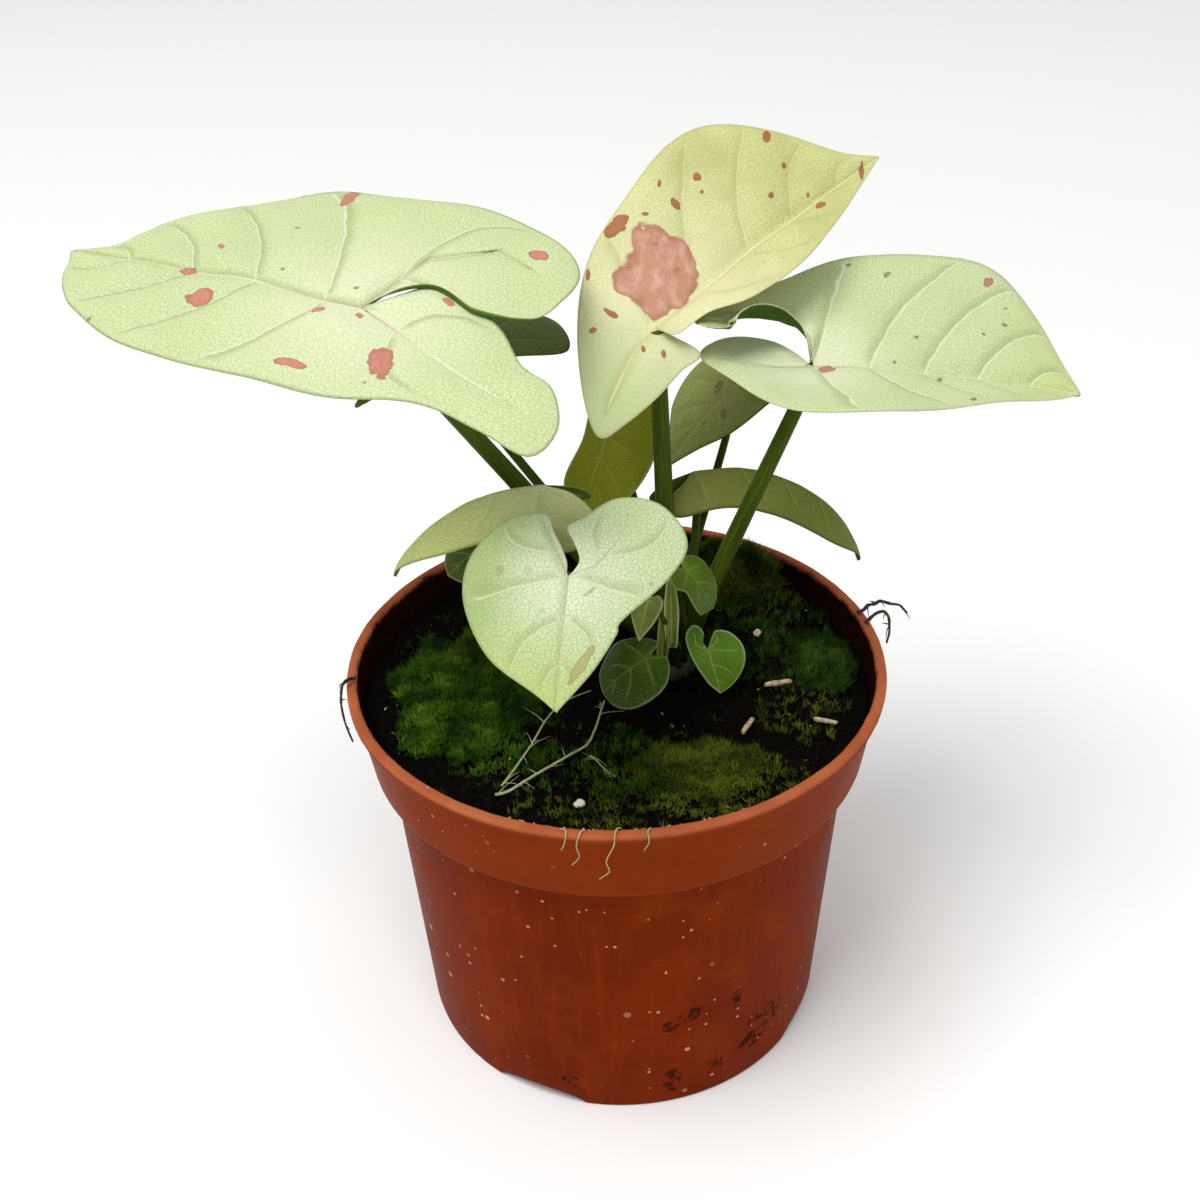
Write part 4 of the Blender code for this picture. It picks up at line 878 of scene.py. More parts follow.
    growLeaf("lobe_below", {
        **smallForm, "slot": "leaf_left_arch", "at": (-25, -3, 127.5), "heading": 196, "pitch": -34,
        "roll": -42, "length": 14,
        "left": [(12, 3.5), (7, 6), (1, 6), (-1, 3)],
        "right": [(12.5, 3), (8, 6), (2, 7), (-1, 4)],
        "fold": (0, 0), "cup": (-20, -20), "droop": 20, "lobeDrop": (0, 0), "veinCounts": (4, 1.5),
        "stalk": 1.5, "foot": (-5.4, -1.8), "grip": 5,
        "look": {
            "light": "5d7030", "deep": "3f5018", "wash": "4e6022", "heart": "6c7f3a", "vein": "7d9048",
            "rib": "7d9048", "margin": "8a9a58",
            "under": "4e6022", "underDeep": "3a4a16", "underVein": "7d9048"}})
    print("leaves and stalks grown")


# pot: the notches go through the foot, the drain holes through the floor
pot = {"rimRadius": 60.0, "height": 93.4, "lipHeight": 2.2, "lipWidth": 1.2, "collarRadius": 56.1,
       "collarBottom": 73.4, "shoulderRadius": 52.4, "footRadius": 47.7, "wall": 1.2, "floorHeight": 3.6,
       "padRadius": 10.0, "notchCount": 4, "notchWidth": 22.0, "notchHeight": 3.2, "firstNotch": 65.5,
       "drainCount": 6, "drainRadius": 3.5, "drainRing": 27.0, "steps": 168, "rounding": 0.9,
       "wallStep": 4.0, "unevenFrom": 60.0, "unevenOver": 30.0, "slowUneven": 0.25, "fineUneven": 0.09,
       "insideFrom": 76.0, "insideSlope": 0.158, "aroundScale": 55.0, "notchDepth": 10.0, "drainDepth": 8.0}
# crusted soil on the wall: (millimetres round it, height, half length, half width, turn)
potDirt = [(38.5, 15.0, 8.5, 5.5, 35), (14.5, 28.5, 6.0, 2.4, 25), (12.0, 8.0, 3.0, 4.5, 0),
           (29.5, 29.0, 1.6, 3.0, 0), (-14.0, 8.0, 3.0, 2.0, 0), (24.0, 9.0, 3.0, 2.6, 0)]


def rounded(profile, radius):
    # the same line with each corner eased over up to `radius` millimetres
    found = [Vector(profile[0])]
    for before, corner, after in zip(profile, profile[1:], profile[2:]):
        corner = Vector(corner)
        back, ahead = Vector(before) - corner, Vector(after) - corner
        start = corner + back.normalized() * min(radius, back.length * 0.45)
        end = corner + ahead.normalized() * min(radius, ahead.length * 0.45)
        found += [(1 - t) ** 2 * start + 2 * t * (1 - t) * corner + t * t * end for t in (0, 0.33, 0.67, 1)]
    return [*found, Vector(profile[-1])]


def inTall(profile, longest):
    # long straight runs cut up, so that the wall can be slightly uneven
    found = [profile[0]]
    for start, end in zip(profile, profile[1:]):
        cuts = max(1, round((end - start).length / longest))
        found += [start.lerp(end, cut / cuts) for cut in range(1, cuts + 1)]
    return found


def potInner():
    # the wall's inside from the floor to the rim, as (radius, height)
    floorTop = pot["floorHeight"] + pot["wall"]
    slope = (pot["shoulderRadius"] - pot["footRadius"]) / pot["collarBottom"]
    inner = pot["rimRadius"] - pot["lipWidth"] - pot["wall"]
    return [(pot["footRadius"] - pot["wall"] + slope * floorTop, floorTop),
            (pot["shoulderRadius"] - pot["wall"], pot["collarBottom"] + 0.6),
            (pot["collarRadius"] - pot["wall"], pot["collarBottom"] + 2.0),
            (inner, pot["height"] - pot["lipHeight"]), (inner, pot["height"])]


def makePotMaterial():
    # potPlace holds the millimetres round the wall, the height, and 1 on the inside of the collar
    material, nodes, shader = newMaterial("potPlastic")
    onWall = nodes.stored("potPlace")
    around, height, inside = nodes.split(onWall)
    place = nodes.millimetres()
    cloudy = nodes.noise(place, 0.045, 4.0, 0.6)
    colour = nodes.mix(nodes.fade(cloudy, 0.35, 0.7), tone("6a1f02"), tone("782703"))
    drawn = nodes.noise(nodes.vector("MULTIPLY", place, (1, 1, 0.06)), 0.5, 3.0)
    colour = nodes.mix(nodes.fade(drawn, 0.45, 0.8, 0.0, 0.3), colour, tone("8a3508"))
    # painted light: the collar is made a little lighter than the body below it
    colour = nodes.mix(nodes.fade(height, 73.0, 74.0, 0.0, 0.5), colour, tone("86340a"))
    # painted highlight: the top of the lip laid over with pale salmon, unevenly
    lipHighlight = nodes.fade(nodes.noise(place, 0.08, 4.0, 0.55), 0.3, 0.7, 0.45, 0.75)
    colour = nodes.over(colour, nodes.fade(height, 91.8, 93.0), lipHighlight, "c4714c")
    dust = nodes.fade(nodes.noise(place, 0.09, 5.0, 0.65), 0.5, 0.75)
    colour = nodes.over(colour, dust, 0.12, "a05a2c")
    # pale flecks, more of them on the left
    fine, coarse = nodes.specks(place, 0.55, 0.25, 0.17), nodes.specks(place, 0.22, 0.2, 0.22)
    specks = nodes.math("MAXIMUM", fine, coarse)
    leftward = nodes.fade(around, -50.0, -18.0, 0.14, 0.0)
    where = nodes.fade(nodes.math("ADD", nodes.noise(place, 0.03, 2.0), leftward), 0.4, 0.62)
    colour = nodes.over(colour, specks, nodes.math("MULTIPLY", where, 0.75), "cfa284")
    crumbly = nodes.fade(nodes.noise(place, 0.42, 5.0, 0.7), 0.48, 0.56)
    dirt = nodes.math("MULTIPLY", spotMask(nodes, onWall, potDirt)[0], crumbly)
    colour = nodes.over(colour, dirt, 0.88, "2e150b")
    # the inside of the collar darkened nearly to black, up to an uneven top
    unevenHeight = nodes.math("MULTIPLY_ADD", nodes.noise(place, 0.25, 4.0, 0.7), 5.0, height)
    colour = nodes.over(colour, nodes.fade(unevenHeight, 94.2, 96.0, 0.96, 0.0), inside, "170b05")
    rough = nodes.math("MULTIPLY_ADD", dust, 0.2, nodes.fade(cloudy, 0.3, 0.7, 0.36, 0.44))
    rough = nodes.math("ADD", rough, nodes.math("MULTIPLY", dirt, 0.4))
    shader.inputs["IOR"].default_value = 1.07
    relief = nodes.math("MULTIPLY_ADD", dirt, 1.5, nodes.noise(place, 0.7, 4.0, 0.6))
    relief = nodes.math("MULTIPLY_ADD", specks, 0.6, relief)
    finish(nodes, shader, colour, rough, relief, 0.25, 0.25)
    return material


def potCutters():
    cutters = []
    for index in range(pot["notchCount"]):
        shape = bmesh.new()
        bmesh.ops.create_cone(shape, cap_ends=True, segments=40, radius1=1, radius2=1, depth=1)
        bmesh.ops.rotate(shape, verts=shape.verts, matrix=Matrix.Rotation(pi / 2, 3, "Y"))
        size = (pot["notchDepth"] * mm, pot["notchWidth"] / 2 * mm, pot["notchHeight"] * mm)
        bmesh.ops.scale(shape, verts=shape.verts, vec=size)
        bmesh.ops.translate(shape, verts=shape.verts, vec=((pot["footRadius"] - 1) * mm, 0, 0))
        turn = radians(pot["firstNotch"]) + 2 * pi * index / pot["notchCount"]
        bmesh.ops.rotate(shape, verts=shape.verts, matrix=Matrix.Rotation(turn, 3, "Z"))
        cutters.append(shape)
    radius = pot["drainRadius"] * mm
    for index in range(pot["drainCount"]):
        shape = bmesh.new()
        bmesh.ops.create_cone(shape, cap_ends=True, segments=32, radius1=radius, radius2=radius,
                              depth=pot["drainDepth"] * mm)
        turn = 2 * pi * index / pot["drainCount"]
        middle = Vector((cos(turn), sin(turn), 0)) * pot["drainRing"] * mm + up * pot["floorHeight"] * mm
        bmesh.ops.translate(shape, verts=shape.verts, vec=middle)
        cutters.append(shape)
    return cutters


def cutAway(name, shape, cutters):
    # the shape less every cutter, as a finished bmesh
    blank = setDown(name, asMesh(name, shape))
    helpers = []
    for index, cutter in enumerate(cutters):
        helper = setDown(f"cutter{index}", asMesh(f"cutter{index}", cutter))
        modifier = blank.modifiers.new(helper.name, "BOOLEAN")
        modifier.operation, modifier.solver, modifier.object = "DIFFERENCE", "EXACT", helper
        helpers.append(helper)
    evaluated = blank.evaluated_get(bpy.context.evaluated_depsgraph_get())
    made = bmesh.new()
    made.from_mesh(evaluated.to_mesh())
    for helper in [blank, *helpers]:
        spare = helper.data
        bpy.data.objects.remove(helper, do_unlink=True)
        bpy.data.meshes.remove(spare)
    return made


def turnedShape(profile, steps):
    shape = bmesh.new()
    line = [shape.verts.new((r * mm, 0, z * mm)) for r, z in profile]
    edges = [shape.edges.new(pair) for pair in zip(line, line[1:])]
    bmesh.ops.spin(shape, geom=line + edges, cent=(0, 0, 0), axis=(0, 0, 1), angle=2 * pi, steps=steps,
                   use_merge=True)
    bmesh.ops.remove_doubles(shape, verts=shape.verts, dist=0.005 * mm)
    bmesh.ops.recalc_face_normals(shape, faces=shape.faces)
    return shape


def potProfile():
    # from the middle of the floor up the inside, over the lip, down the outside and back under the foot
    rim, height, lip, collar = pot["rimRadius"], pot["height"], pot["lipHeight"], pot["collarRadius"]
    outer = [(rim - 0.5, height), (rim, height - 0.5), (rim, height - lip),
             (rim - pot["lipWidth"], height - lip - 0.4), (collar, pot["collarBottom"] + 0.6),
             (collar - 0.6, pot["collarBottom"]), (pot["shoulderRadius"], pot["collarBottom"] - 0.8),
             (pot["footRadius"], 0.0)]
    footInner, floor = pot["footRadius"] - pot["wall"], pot["floorHeight"]
    under = [(footInner, 0.0), (footInner, floor), (pot["padRadius"] + 1.5, floor), (pot["padRadius"], 0.0),
             (0.0, 0.0)]
    inside = [(0.0, floor + pot["wall"]), *potInner()]
    return inTall(rounded(inside + outer + under, pot["rounding"]), pot["wallStep"])


def makePot():
    rim = pot["rimRadius"]
    shape = cutAway("potBlank", turnedShape(potProfile(), pot["steps"]), potCutters())
    layer = shape.verts.layers.float_vector.new("potPlace")
    for point in shape.verts:
        x, y, z = point.co / mm
        reach = hypot(x, y)
        if z > pot["unevenFrom"] and reach > 1:
            uneven = (pot["slowUneven"] * noise.noise(point.co / mm * 0.06)
                      + pot["fineUneven"] * noise.noise(point.co / mm * 0.5))
            swell = uneven * min(1, (z - pot["unevenFrom"]) / pot["unevenOver"])
            grown = min(rim, reach + swell) / reach
            point.co.x *= grown
            point.co.y *= grown
        wallHere = pot["collarRadius"] + (z - pot["collarBottom"]) * pot["insideSlope"] - 0.6
        inside = z > pot["insideFrom"] and reach < min(rim - 1.8, wallHere)
        point[layer] = (np.arctan2(x, -y) * pot["aroundScale"], z, inside)
    addPiece("potShell", shape, makePotMaterial(), ["pot"])
    print("pot made")


# soil: its level, its edge inside the collar, a rise at the back and loose crumbs
soil = {"level": 87.2, "radius": 56.0, "edgeDrop": 1.0, "edgeWidth": 8.0, "lump": 0.8, "backRise": 2.0,
        "backRiseAt": (26.0, 34.0), "backRiseSpread": 31.6, "levelSpread": 17.3, "rings": 84, "steps": 200,
        "clearance": 0.45, "crumbs": 2600, "crumbReach": 55.8, "crumbKinds": 6, "crumbLeast": 0.4,
        "crumbMore": 1.3}


def soilHeight(x, y):
    fromRise = hypot(x - soil["backRiseAt"][0], y - soil["backRiseAt"][1]) / soil["backRiseSpread"]
    fromCrown = hypot(x - crown["middle"][0], y - crown["middle"][1]) / soil["levelSpread"]
    waves = soil["lump"] * sin(0.19 * x + 0.4) * cos(0.16 * y)
    rise = soil["backRise"] * exp(-2 * fromRise ** 2)
    return soil["level"] + (waves + rise) * (1 - exp(-fromCrown ** 4))


def soilTop(x, y):
    # the soil with its edge drop and its crumbly surface
    edgeLevel = soil["level"] - soil["edgeDrop"]
    inward = max(0.0, min(1.0, (soil["radius"] - hypot(x, y)) / soil["edgeWidth"]))
    place = Vector((x, y, 0))
    crumbs = (0.55 * noise.noise(place * 0.35) + 0.45 * abs(noise.noise(place * 0.9))
              + 0.2 * noise.noise(place * 2.1))
    return edgeLevel + (soilHeight(x, y) - edgeLevel) * inward + crumbs - 0.1


def makeSoilMaterial(name, light, deep):
    material, nodes, shader = newMaterial(name)
    place = nodes.millimetres()
    grain = nodes.noise(place, 0.9, 5.0, 0.7)
    colour = nodes.mix(nodes.fade(grain, 0.4, 0.75), tone(deep), tone(light))
    colour = nodes.over(colour, nodes.specks(place, 0.8, 0.32, 0.04), 0.6, "8a7a5c")
    shader.inputs["IOR"].default_value = 1.12
    finish(nodes, shader, colour, nodes.fade(grain, 0.3, 0.7, 0.8, 0.98), grain, 0.8, 0.5)
    return material


def makeLumps():
    # a few rough crumbs one millimetre across, to be scaled and scattered
    lumps = []
    for seed in range(soil["crumbKinds"]):
        lump = bmesh.new()
        bmesh.ops.create_icosphere(lump, subdivisions=1, radius=0.5)
        for point in lump.verts:
            point.co *= 1 + 0.45 * noise.noise(point.co * 3 + Vector((seed * 5, 0, 0)))
        lumps.append(asMesh("crumb", lump))
    return lumps


def makeCrumbs():
    draw, lumps = Random(11), makeLumps()
    places = [[] for _ in lumps]
    for _ in range(soil["crumbs"]):
        reach, turn = soil["crumbReach"] * draw.random() ** 0.5, draw.uniform(0, 2 * pi)
        x, y = reach * cos(turn), reach * sin(turn)
        size = soil["crumbLeast"] + soil["crumbMore"] * draw.random() ** 2.5
        spin = Matrix.Rotation(draw.uniform(0, 2 * pi), 4, (draw.random(), draw.random(), 1))
        depth, height = size * draw.uniform(0.5, 1), size * draw.uniform(0.4, 0.8)
        scale = Matrix.Diagonal((size * mm, depth * mm, height * mm, 1))
        at = Matrix.Translation((x * mm, y * mm, (soilTop(x, y) + 0.15 * size) * mm))
        places[draw.randrange(len(lumps))].append(at @ spin @ scale)
    crumbs = bmesh.new()
    gather(crumbs, lumps, places)
    addPiece("soilCrumbs", crumbs, makeSoilMaterial("peatCrumbs", "241a12", "070504"))


def makeSoil():
    sides = [(r - soil["clearance"], z) for r, z in potInner()]
    bottomRadius, bottom = sides[0][0], sides[0][1] + 0.3
    (lowRadius, low), (highRadius, high) = sides[2], sides[3]
    edgeLevel = soil["level"] - soil["edgeDrop"]
    topRadius = lowRadius + (edgeLevel - low) / (high - low) * (highRadius - lowRadius)
    profile = [(topRadius * ring / soil["rings"], soil["level"]) for ring in range(soil["rings"] + 1)]
    profile += [(lowRadius, low + 0.4), sides[1], (bottomRadius, bottom), (0.0, bottom)]
    shape = turnedShape(profile, soil["steps"])
    for point in shape.verts:
        if point.co.z > (edgeLevel - 0.5) * mm:
            point.co.z = soilTop(point.co.x / mm, point.co.y / mm) * mm
    addPiece("soilBed", shape, makeSoilMaterial("pottingMix", "17110c", "040303"), ["soil"])
    makeCrumbs()
    print("soil laid")


# moss cushions: (x, y, half width, half depth, height, skin)
moss = {"moss_left": (-34, -6, 17, 27, 4.0, "green"), "moss_back": (25, 35.6, 16, 10.6, 12, "olive"),
        "moss_front": (17, -34, 15, 9, 2.6, "olive"), "moss_right": (47, 3, 7.5, 12, 2.6, "deep"),
        "moss_back_left": (-20, 42, 14, 8, 3.0, "deep")}
# loose moss between the cushions: (x, y, half width, half depth, share kept, height of the shoots, skin)
looseMoss = [(-20, -26, 18, 14, 0.8, 1.1, "green"), (2, -31, 10, 15, 0.75, 1.5, "green"),
             (24, -38, 20, 10, 0.75, 1.0, "olive"), (-30, 10, 20, 22, 0.5, 0.8, "deep"),
             (35, 14, 17, 20, 0.62, 1.5, "deep"), (40, -14, 10, 12, 0.45, 1.1, "olive"),
             (8, 36, 26, 14, 0.5, 1.2, "deep"), (38, 34, 10, 12, 0.6, 1.5, "olive"),
             (0, 0, 54, 54, 0.07, 0.9, "deep"), (3, -45, 26, 8, 0.55, 0.9, "olive")]
# each moss skin is (deep, light, tip); the bright tip colour is a painted highlight
mossSkins = {"green": ("1b380a", "4f7a10", "bcd152"), "deep": ("152a0a", "3c6216", "8aa84a"),
             "olive": ("2c3a0b", "6f7c1c", "cdc25c")}
tufts = {"kinds": 10, "shoots": 8, "shootHeight": (1.2, 2.6), "shootRadius": (0.11, 0.17),
         "lean": (0.1, 0.95), "spread": 0.7, "perSquareMm": 1.7, "loosePerSquareMm": 0.95, "reach": 55.3,
         "fromCrown": 10, "lowTop": 0.62, "lumpRise": 0.3, "domeShadeRise": 0.12}


def makeMossMaterial(name, deep, light, tip):
    # rise is 0 at a shoot's foot and 1 at its tip; tint differs from tuft to tuft
    material, nodes, shader = newMaterial(name)
    place = nodes.millimetres()
    rise, tint = nodes.stored("rise", "Fac"), nodes.stored("tint", "Fac")
    patch = nodes.fade(nodes.noise(place, 0.13, 3.0, 0.65), 0.38, 0.62)
    single = nodes.math("MULTIPLY", nodes.fade(nodes.noise(place, 0.5, 2.0), 0.4, 0.62), tint)
    fresh = nodes.math("MULTIPLY_ADD", tint, 0.45, nodes.math("MULTIPLY", patch, 0.55))
    lit = nodes.math("MULTIPLY", single, nodes.fade(patch, 0.2, 1.0))
    colour = nodes.mix(fresh, tone(deep), tone(light))
    # painted highlight: the bright tip colour laid over the tips of the tufts that the noise picks
    colour = nodes.over(colour, nodes.fade(rise, 0.45, 1.0), lit, tip)
    # painted shade: each shoot darkened nearly to black towards its foot, down among the others
    colour = nodes.mix(nodes.fade(rise, 0.0, 0.6, 0.75, 0.0), colour, tone("040802"))
    rough = nodes.fade(single, 0.0, 1.0, 0.7, 0.9)
    shader.inputs["IOR"].default_value = 1.15
    finish(nodes, shader, colour, rough, nodes.noise(place, 1.6, 4.0, 0.7), 0.7, 0.5)
    return material


def makeTufts(draw):
    # a few different tufts of thin leaning shoots, in millimetres
    made = []
    for kind in range(tufts["kinds"]):
        shape = bmesh.new()
        rise = shape.verts.layers.float.new("rise")
        tint = shape.verts.layers.float.new("tint")
        for _ in range(tufts["shoots"]):
            height, radius = draw.uniform(*tufts["shootHeight"]), draw.uniform(*tufts["shootRadius"])
            shoot = bmesh.ops.create_cone(shape, cap_ends=False, segments=3, radius1=radius, radius2=0,
                                          depth=height)["verts"]
            lean, turn = draw.uniform(*tufts["lean"]), draw.uniform(0, 2 * pi)
            for point in shoot:
                point[rise] = point.co.z / height + 0.5
                point[tint] = (kind + 0.5) / tufts["kinds"]
                point.co.z += height / 2
            x, y = (draw.uniform(-tufts["spread"], tufts["spread"]) for _ in range(2))
            place = (Matrix.Translation((x, y, -0.2)) @ Matrix.Rotation(turn, 4, "Z")
                     @ Matrix.Rotation(lean, 4, "Y"))
            bmesh.ops.transform(shape, matrix=place, verts=shoot)
        made.append(asMesh("tuft", shape))
    return made


def mossLumps(x, y):
    # 0 in the hollows between a cushion's lumps, 1 on them
    lump = 0.5 + 1.1 * noise.noise(Vector((x, y, 9)) * 0.16) + 0.5 * noise.noise(Vector((x, y, 2)) * 0.4)
    return min(1.0, max(0.0, lump))


def plumpness(lump):
    return tufts["lowTop"] + tufts["lumpRise"] * lump


def raggedBorder(least, spread, x, y, offset):
    return least + spread * noise.noise(Vector((x * 2.2 + offset, y * 2.2, 0)))


def makeCushion(node, kinds, draw, skin):
    # a lumpy dome on the soil, set all over with tufts that lean outwards
    x, y, halfWidth, halfDepth, height, _ = moss[node]
    shape = bmesh.new()
    rise = shape.verts.layers.float.new("rise")
    bmesh.ops.create_uvsphere(shape, u_segments=64, v_segments=28, radius=1)
    for point in shape.verts:
        dome = point.co.z
        border = raggedBorder(0.9, 0.3, point.co.x, point.co.y, x)
        px, py = x + point.co.x * halfWidth * border, y + point.co.y * halfDepth * border
        lift = dome * height * plumpness(mossLumps(px, py)) if dome > 0 else dome * 0.3
        point.co = (px, py, soilHeight(px, py) + 0.1 + lift + 0.3 * noise.noise(Vector((px, py, 0)) * 0.8))
        # the dome under the shoots takes a low rise, so it is painted dark as the shade beneath them
        point[rise] = tufts["domeShadeRise"]
    bmesh.ops.scale(shape, verts=shape.verts, vec=(mm, mm, mm))
    places = [[] for _ in kinds]
    for _ in range(int(pi * halfWidth * halfDepth * tufts["perSquareMm"])):
        reach, turn = draw.random() ** 0.5, draw.uniform(0, 2 * pi)
        border = raggedBorder(0.93, 0.32, cos(turn) * reach, sin(turn) * reach, x)
        px, py = x + reach * cos(turn) * halfWidth * border, y + reach * sin(turn) * halfDepth * border
        lump = mossLumps(px, py)
        if hypot(px, py) > tufts["reach"] or draw.random() > 0.35 + lump:
            continue
        pz = soilHeight(px, py) + 0.1 + (1 - reach * reach) ** 0.5 * height * plumpness(lump)
        slope = Vector((cos(turn) * reach / halfWidth, sin(turn) * reach / halfDepth, 0.7 / height + 0.04))
        tilt = up.rotation_difference(slope.normalized().lerp(up, 0.35)).to_matrix().to_4x4()
        # tufts on the lumps take the lighter tints and those in the hollows the darker: painted shade in
        # the hollows, beside tone that differs from tuft to tuft
        kind = min(len(kinds) - 1, int((0.25 + 0.75 * lump) * draw.random() * len(kinds) * 1.15))
        places[kind].append(Matrix.Translation((px * mm, py * mm, pz * mm)) @ tilt
                            @ Matrix.Rotation(draw.uniform(0, 2 * pi), 4, "Z")
                            @ Matrix.Scale(draw.uniform(0.6, 1.0 + 0.5 * lump) * mm, 4))
    gather(shape, kinds, places)
    addPiece(camel(node, "Cushion"), shape, skin, [node])


def makeMoss():
    draw = Random(5)
    kinds = makeTufts(draw)
    skins = {name: makeMossMaterial("moss" + name.capitalize(), *tones)
             for name, tones in mossSkins.items()}
    for node, cushion in moss.items():
        makeCushion(node, kinds, draw, skins[cushion[-1]])
    places = {name: [[] for _ in kinds] for name in skins}
    for x, y, halfWidth, halfDepth, keep, tall, skin in looseMoss:
        for _ in range(int(pi * halfWidth * halfDepth * tufts["loosePerSquareMm"])):
            reach, turn = draw.random() ** 0.5, draw.uniform(0, 2 * pi)
            px, py = x + reach * cos(turn) * halfWidth, y + reach * sin(turn) * halfDepth
            lump = mossLumps(px + 40, py)
            fromCrown = hypot(px - crown["middle"][0], py - crown["middle"][1])
            if hypot(px, py) > tufts["reach"] or fromCrown < tufts["fromCrown"]:
                continue
            if draw.random() > keep * lump * (1.3 - reach ** 2):
                continue
            size = draw.uniform(0.6, 1.1) * mm
            kind = min(len(kinds) - 1, int((0.2 + 0.8 * lump) * draw.random() * len(kinds) * 1.1))
            places[skin][kind].append(Matrix.Translation((px * mm, py * mm, soilTop(px, py) * mm))
                                      @ Matrix.Rotation(draw.uniform(0, 2 * pi), 4, "Z")
                                      @ Matrix.Diagonal((size, size, size * tall, 1)))
    for name, found in places.items():
        shape = bmesh.new()
        gather(shape, kinds, found)
        addPiece("loose" + name.capitalize() + "Moss", shape, skins[name])
    print("moss grown")


# crown: the short stem as (height, width), and a leaf base standing at each foot round it
crownStem = [(86.0, 13), (89.0, 12.4), (91.5, 10.4), (93.5, 7.2)]
crownFeet = [(-4.6, 0.2), (0.4, 1.2), (5.0, -0.2), (-1.0, -3.4), (-4.4, -4.2), (-1.0, 5.4), (1.8, 6.8),
             (4.9, 3.8), (-4.4, 4.2)]
baseWidths = [4.8, 4.9, 4.9, 4.8, 4.7, 4.5, 4.3, 4.1, 3.9, 3.7, 3.5, 3.2, 2.6]


def makeCrown():
    material, nodes, shader = newMaterial("crownSkin")
    place = nodes.place()
    streaks = nodes.noise(nodes.vector("MULTIPLY", place, (1000, 1000, 150)), 0.9, 4.0, 0.6)
    colour = nodes.mix(nodes.fade(streaks, 0.35, 0.65), tone("1c260a"), tone("46561c"))
    colour = nodes.mix(nodes.fade(nodes.split(place)[2], 0.087, 0.091, 0.8, 0.0), colour, tone("2c2416"))
    finish(nodes, shader, colour, nodes.fade(streaks, 0.2, 0.8, 0.45, 0.65), streaks, 0.6, 0.4)
    x, y = crown["middle"]
    meshes = [sweep([(x, y, height) for height, _ in crownStem], [width for _, width in crownStem], 24)]
    for index, (fx, fy) in enumerate(crownFeet):
        lean = Vector((fx, fy, 0)) * 0.12
        route = smoothLine([(x + fx * 0.8 - lean.x, y + fy * 0.8 - lean.y, 86.5),
                            (x + fx * 0.95, y + fy * 0.95, 90.5), (x + fx, y + fy, 94.5),
                            (x + fx, y + fy, 97.0 + index % 3)], 4)
        meshes.append(sweep(route, baseWidths, 16, 0.8))
    addPiece("crownSheaths", joinMeshes(meshes), material, ["crown"])
    print("crown made")


# chips and perlite: (x, y, length, width, thickness, turn)
chips = {"wood_chip_right": (36, -5, 6.0, 2.2, 1.1, 12), "wood_chip_edge": (45, -18, 5.0, 1.8, 1.0, -20),
         "wood_chip_front": (28, -20, 5.5, 2.0, 1.0, 62), "wood_chip_back": (-6, 28, 6.5, 2.4, 1.2, 35),
         "perlite_left": (-8, -44, 2.4, 1.9, 1.6, 25), "perlite_right": (33, 14, 2.2, 1.8, 1.5, 70)}
chipForm = {"slimness": 0.55, "cuts": 5, "seat": 0.65}
# pale bits: first those along the front of the lip, then those on the soil
bits = {"onLip": 110, "onSoil": 60, "lipReach": 57.7, "lipWidth": 0.8, "lipMiddle": -88, "lipSpread": 13,
        "lipSize": (0.3, 0.9), "soilReach": 54, "soilLeast": 0.25, "soilMore": 0.8}


def makeChipMaterial(name, light, deep, grainStretch):
    material, nodes, shader = newMaterial(name)
    drawn = nodes.vector("MULTIPLY", nodes.place(), (1000, 1000 * grainStretch, 1000))
    grain = nodes.noise(drawn, 0.9, 5.0, 0.65)
    colour = nodes.mix(nodes.fade(grain, 0.35, 0.7), tone(deep), tone(light))
    finish(nodes, shader, colour, nodes.fade(grain, 0.3, 0.7, 0.7, 0.9), grain, 0.6, 0.3)
    return material


def makeChips():
    wood = makeChipMaterial("splitWood", "e2d6b4", "978157", 3.0)
    stone = makeChipMaterial("perlite", "f0ece2", "bfb6a2", 1.0)
    for node, (x, y, length, width, thickness, turn) in chips.items():
        shape = bmesh.new()
        bmesh.ops.create_cube(shape, size=1)
        bmesh.ops.subdivide_edges(shape, edges=shape.edges, cuts=chipForm["cuts"], use_grid_fill=True)
        pebble = node.startswith("perlite")
        for point in shape.verts:
            if pebble:
                rough = 1 + 0.3 * noise.noise(point.co * 3 + Vector((x, y, 0)))
                point.co = point.co.normalized() * 0.5 * rough
            else:
                ragged = noise.noise(Vector((point.co.y * 9, point.co.z * 4, x)))
                point.co.x *= 1 + 0.25 * ragged * abs(point.co.x) * 2
                point.co.y *= 1 - 0.5 * abs(point.co.x) + 0.2 * noise.noise(Vector((point.co.x * 5, x, 0)))
                point.co.z += 0.25 * noise.noise(Vector((point.co.x * 4, point.co.y * 3, y)))
        slim = 1 if pebble else chipForm["slimness"]
        size = (length * mm, width * slim * mm, thickness * slim * mm)
        bmesh.ops.scale(shape, verts=shape.verts, vec=size)
        bmesh.ops.rotate(shape, verts=shape.verts, matrix=Matrix.Rotation(radians(turn), 3, "Z"))
        rest = soilHeight(x, y) + chipForm["seat"] + thickness * slim / 2
        bmesh.ops.translate(shape, verts=shape.verts, vec=(x * mm, y * mm, rest * mm))
        material, slot = (stone, "perlite") if pebble else (wood, "wood_chip")
        addPiece(camel(node, "Piece"), shape, material, [node])
    makeBits()
    print("chips laid")


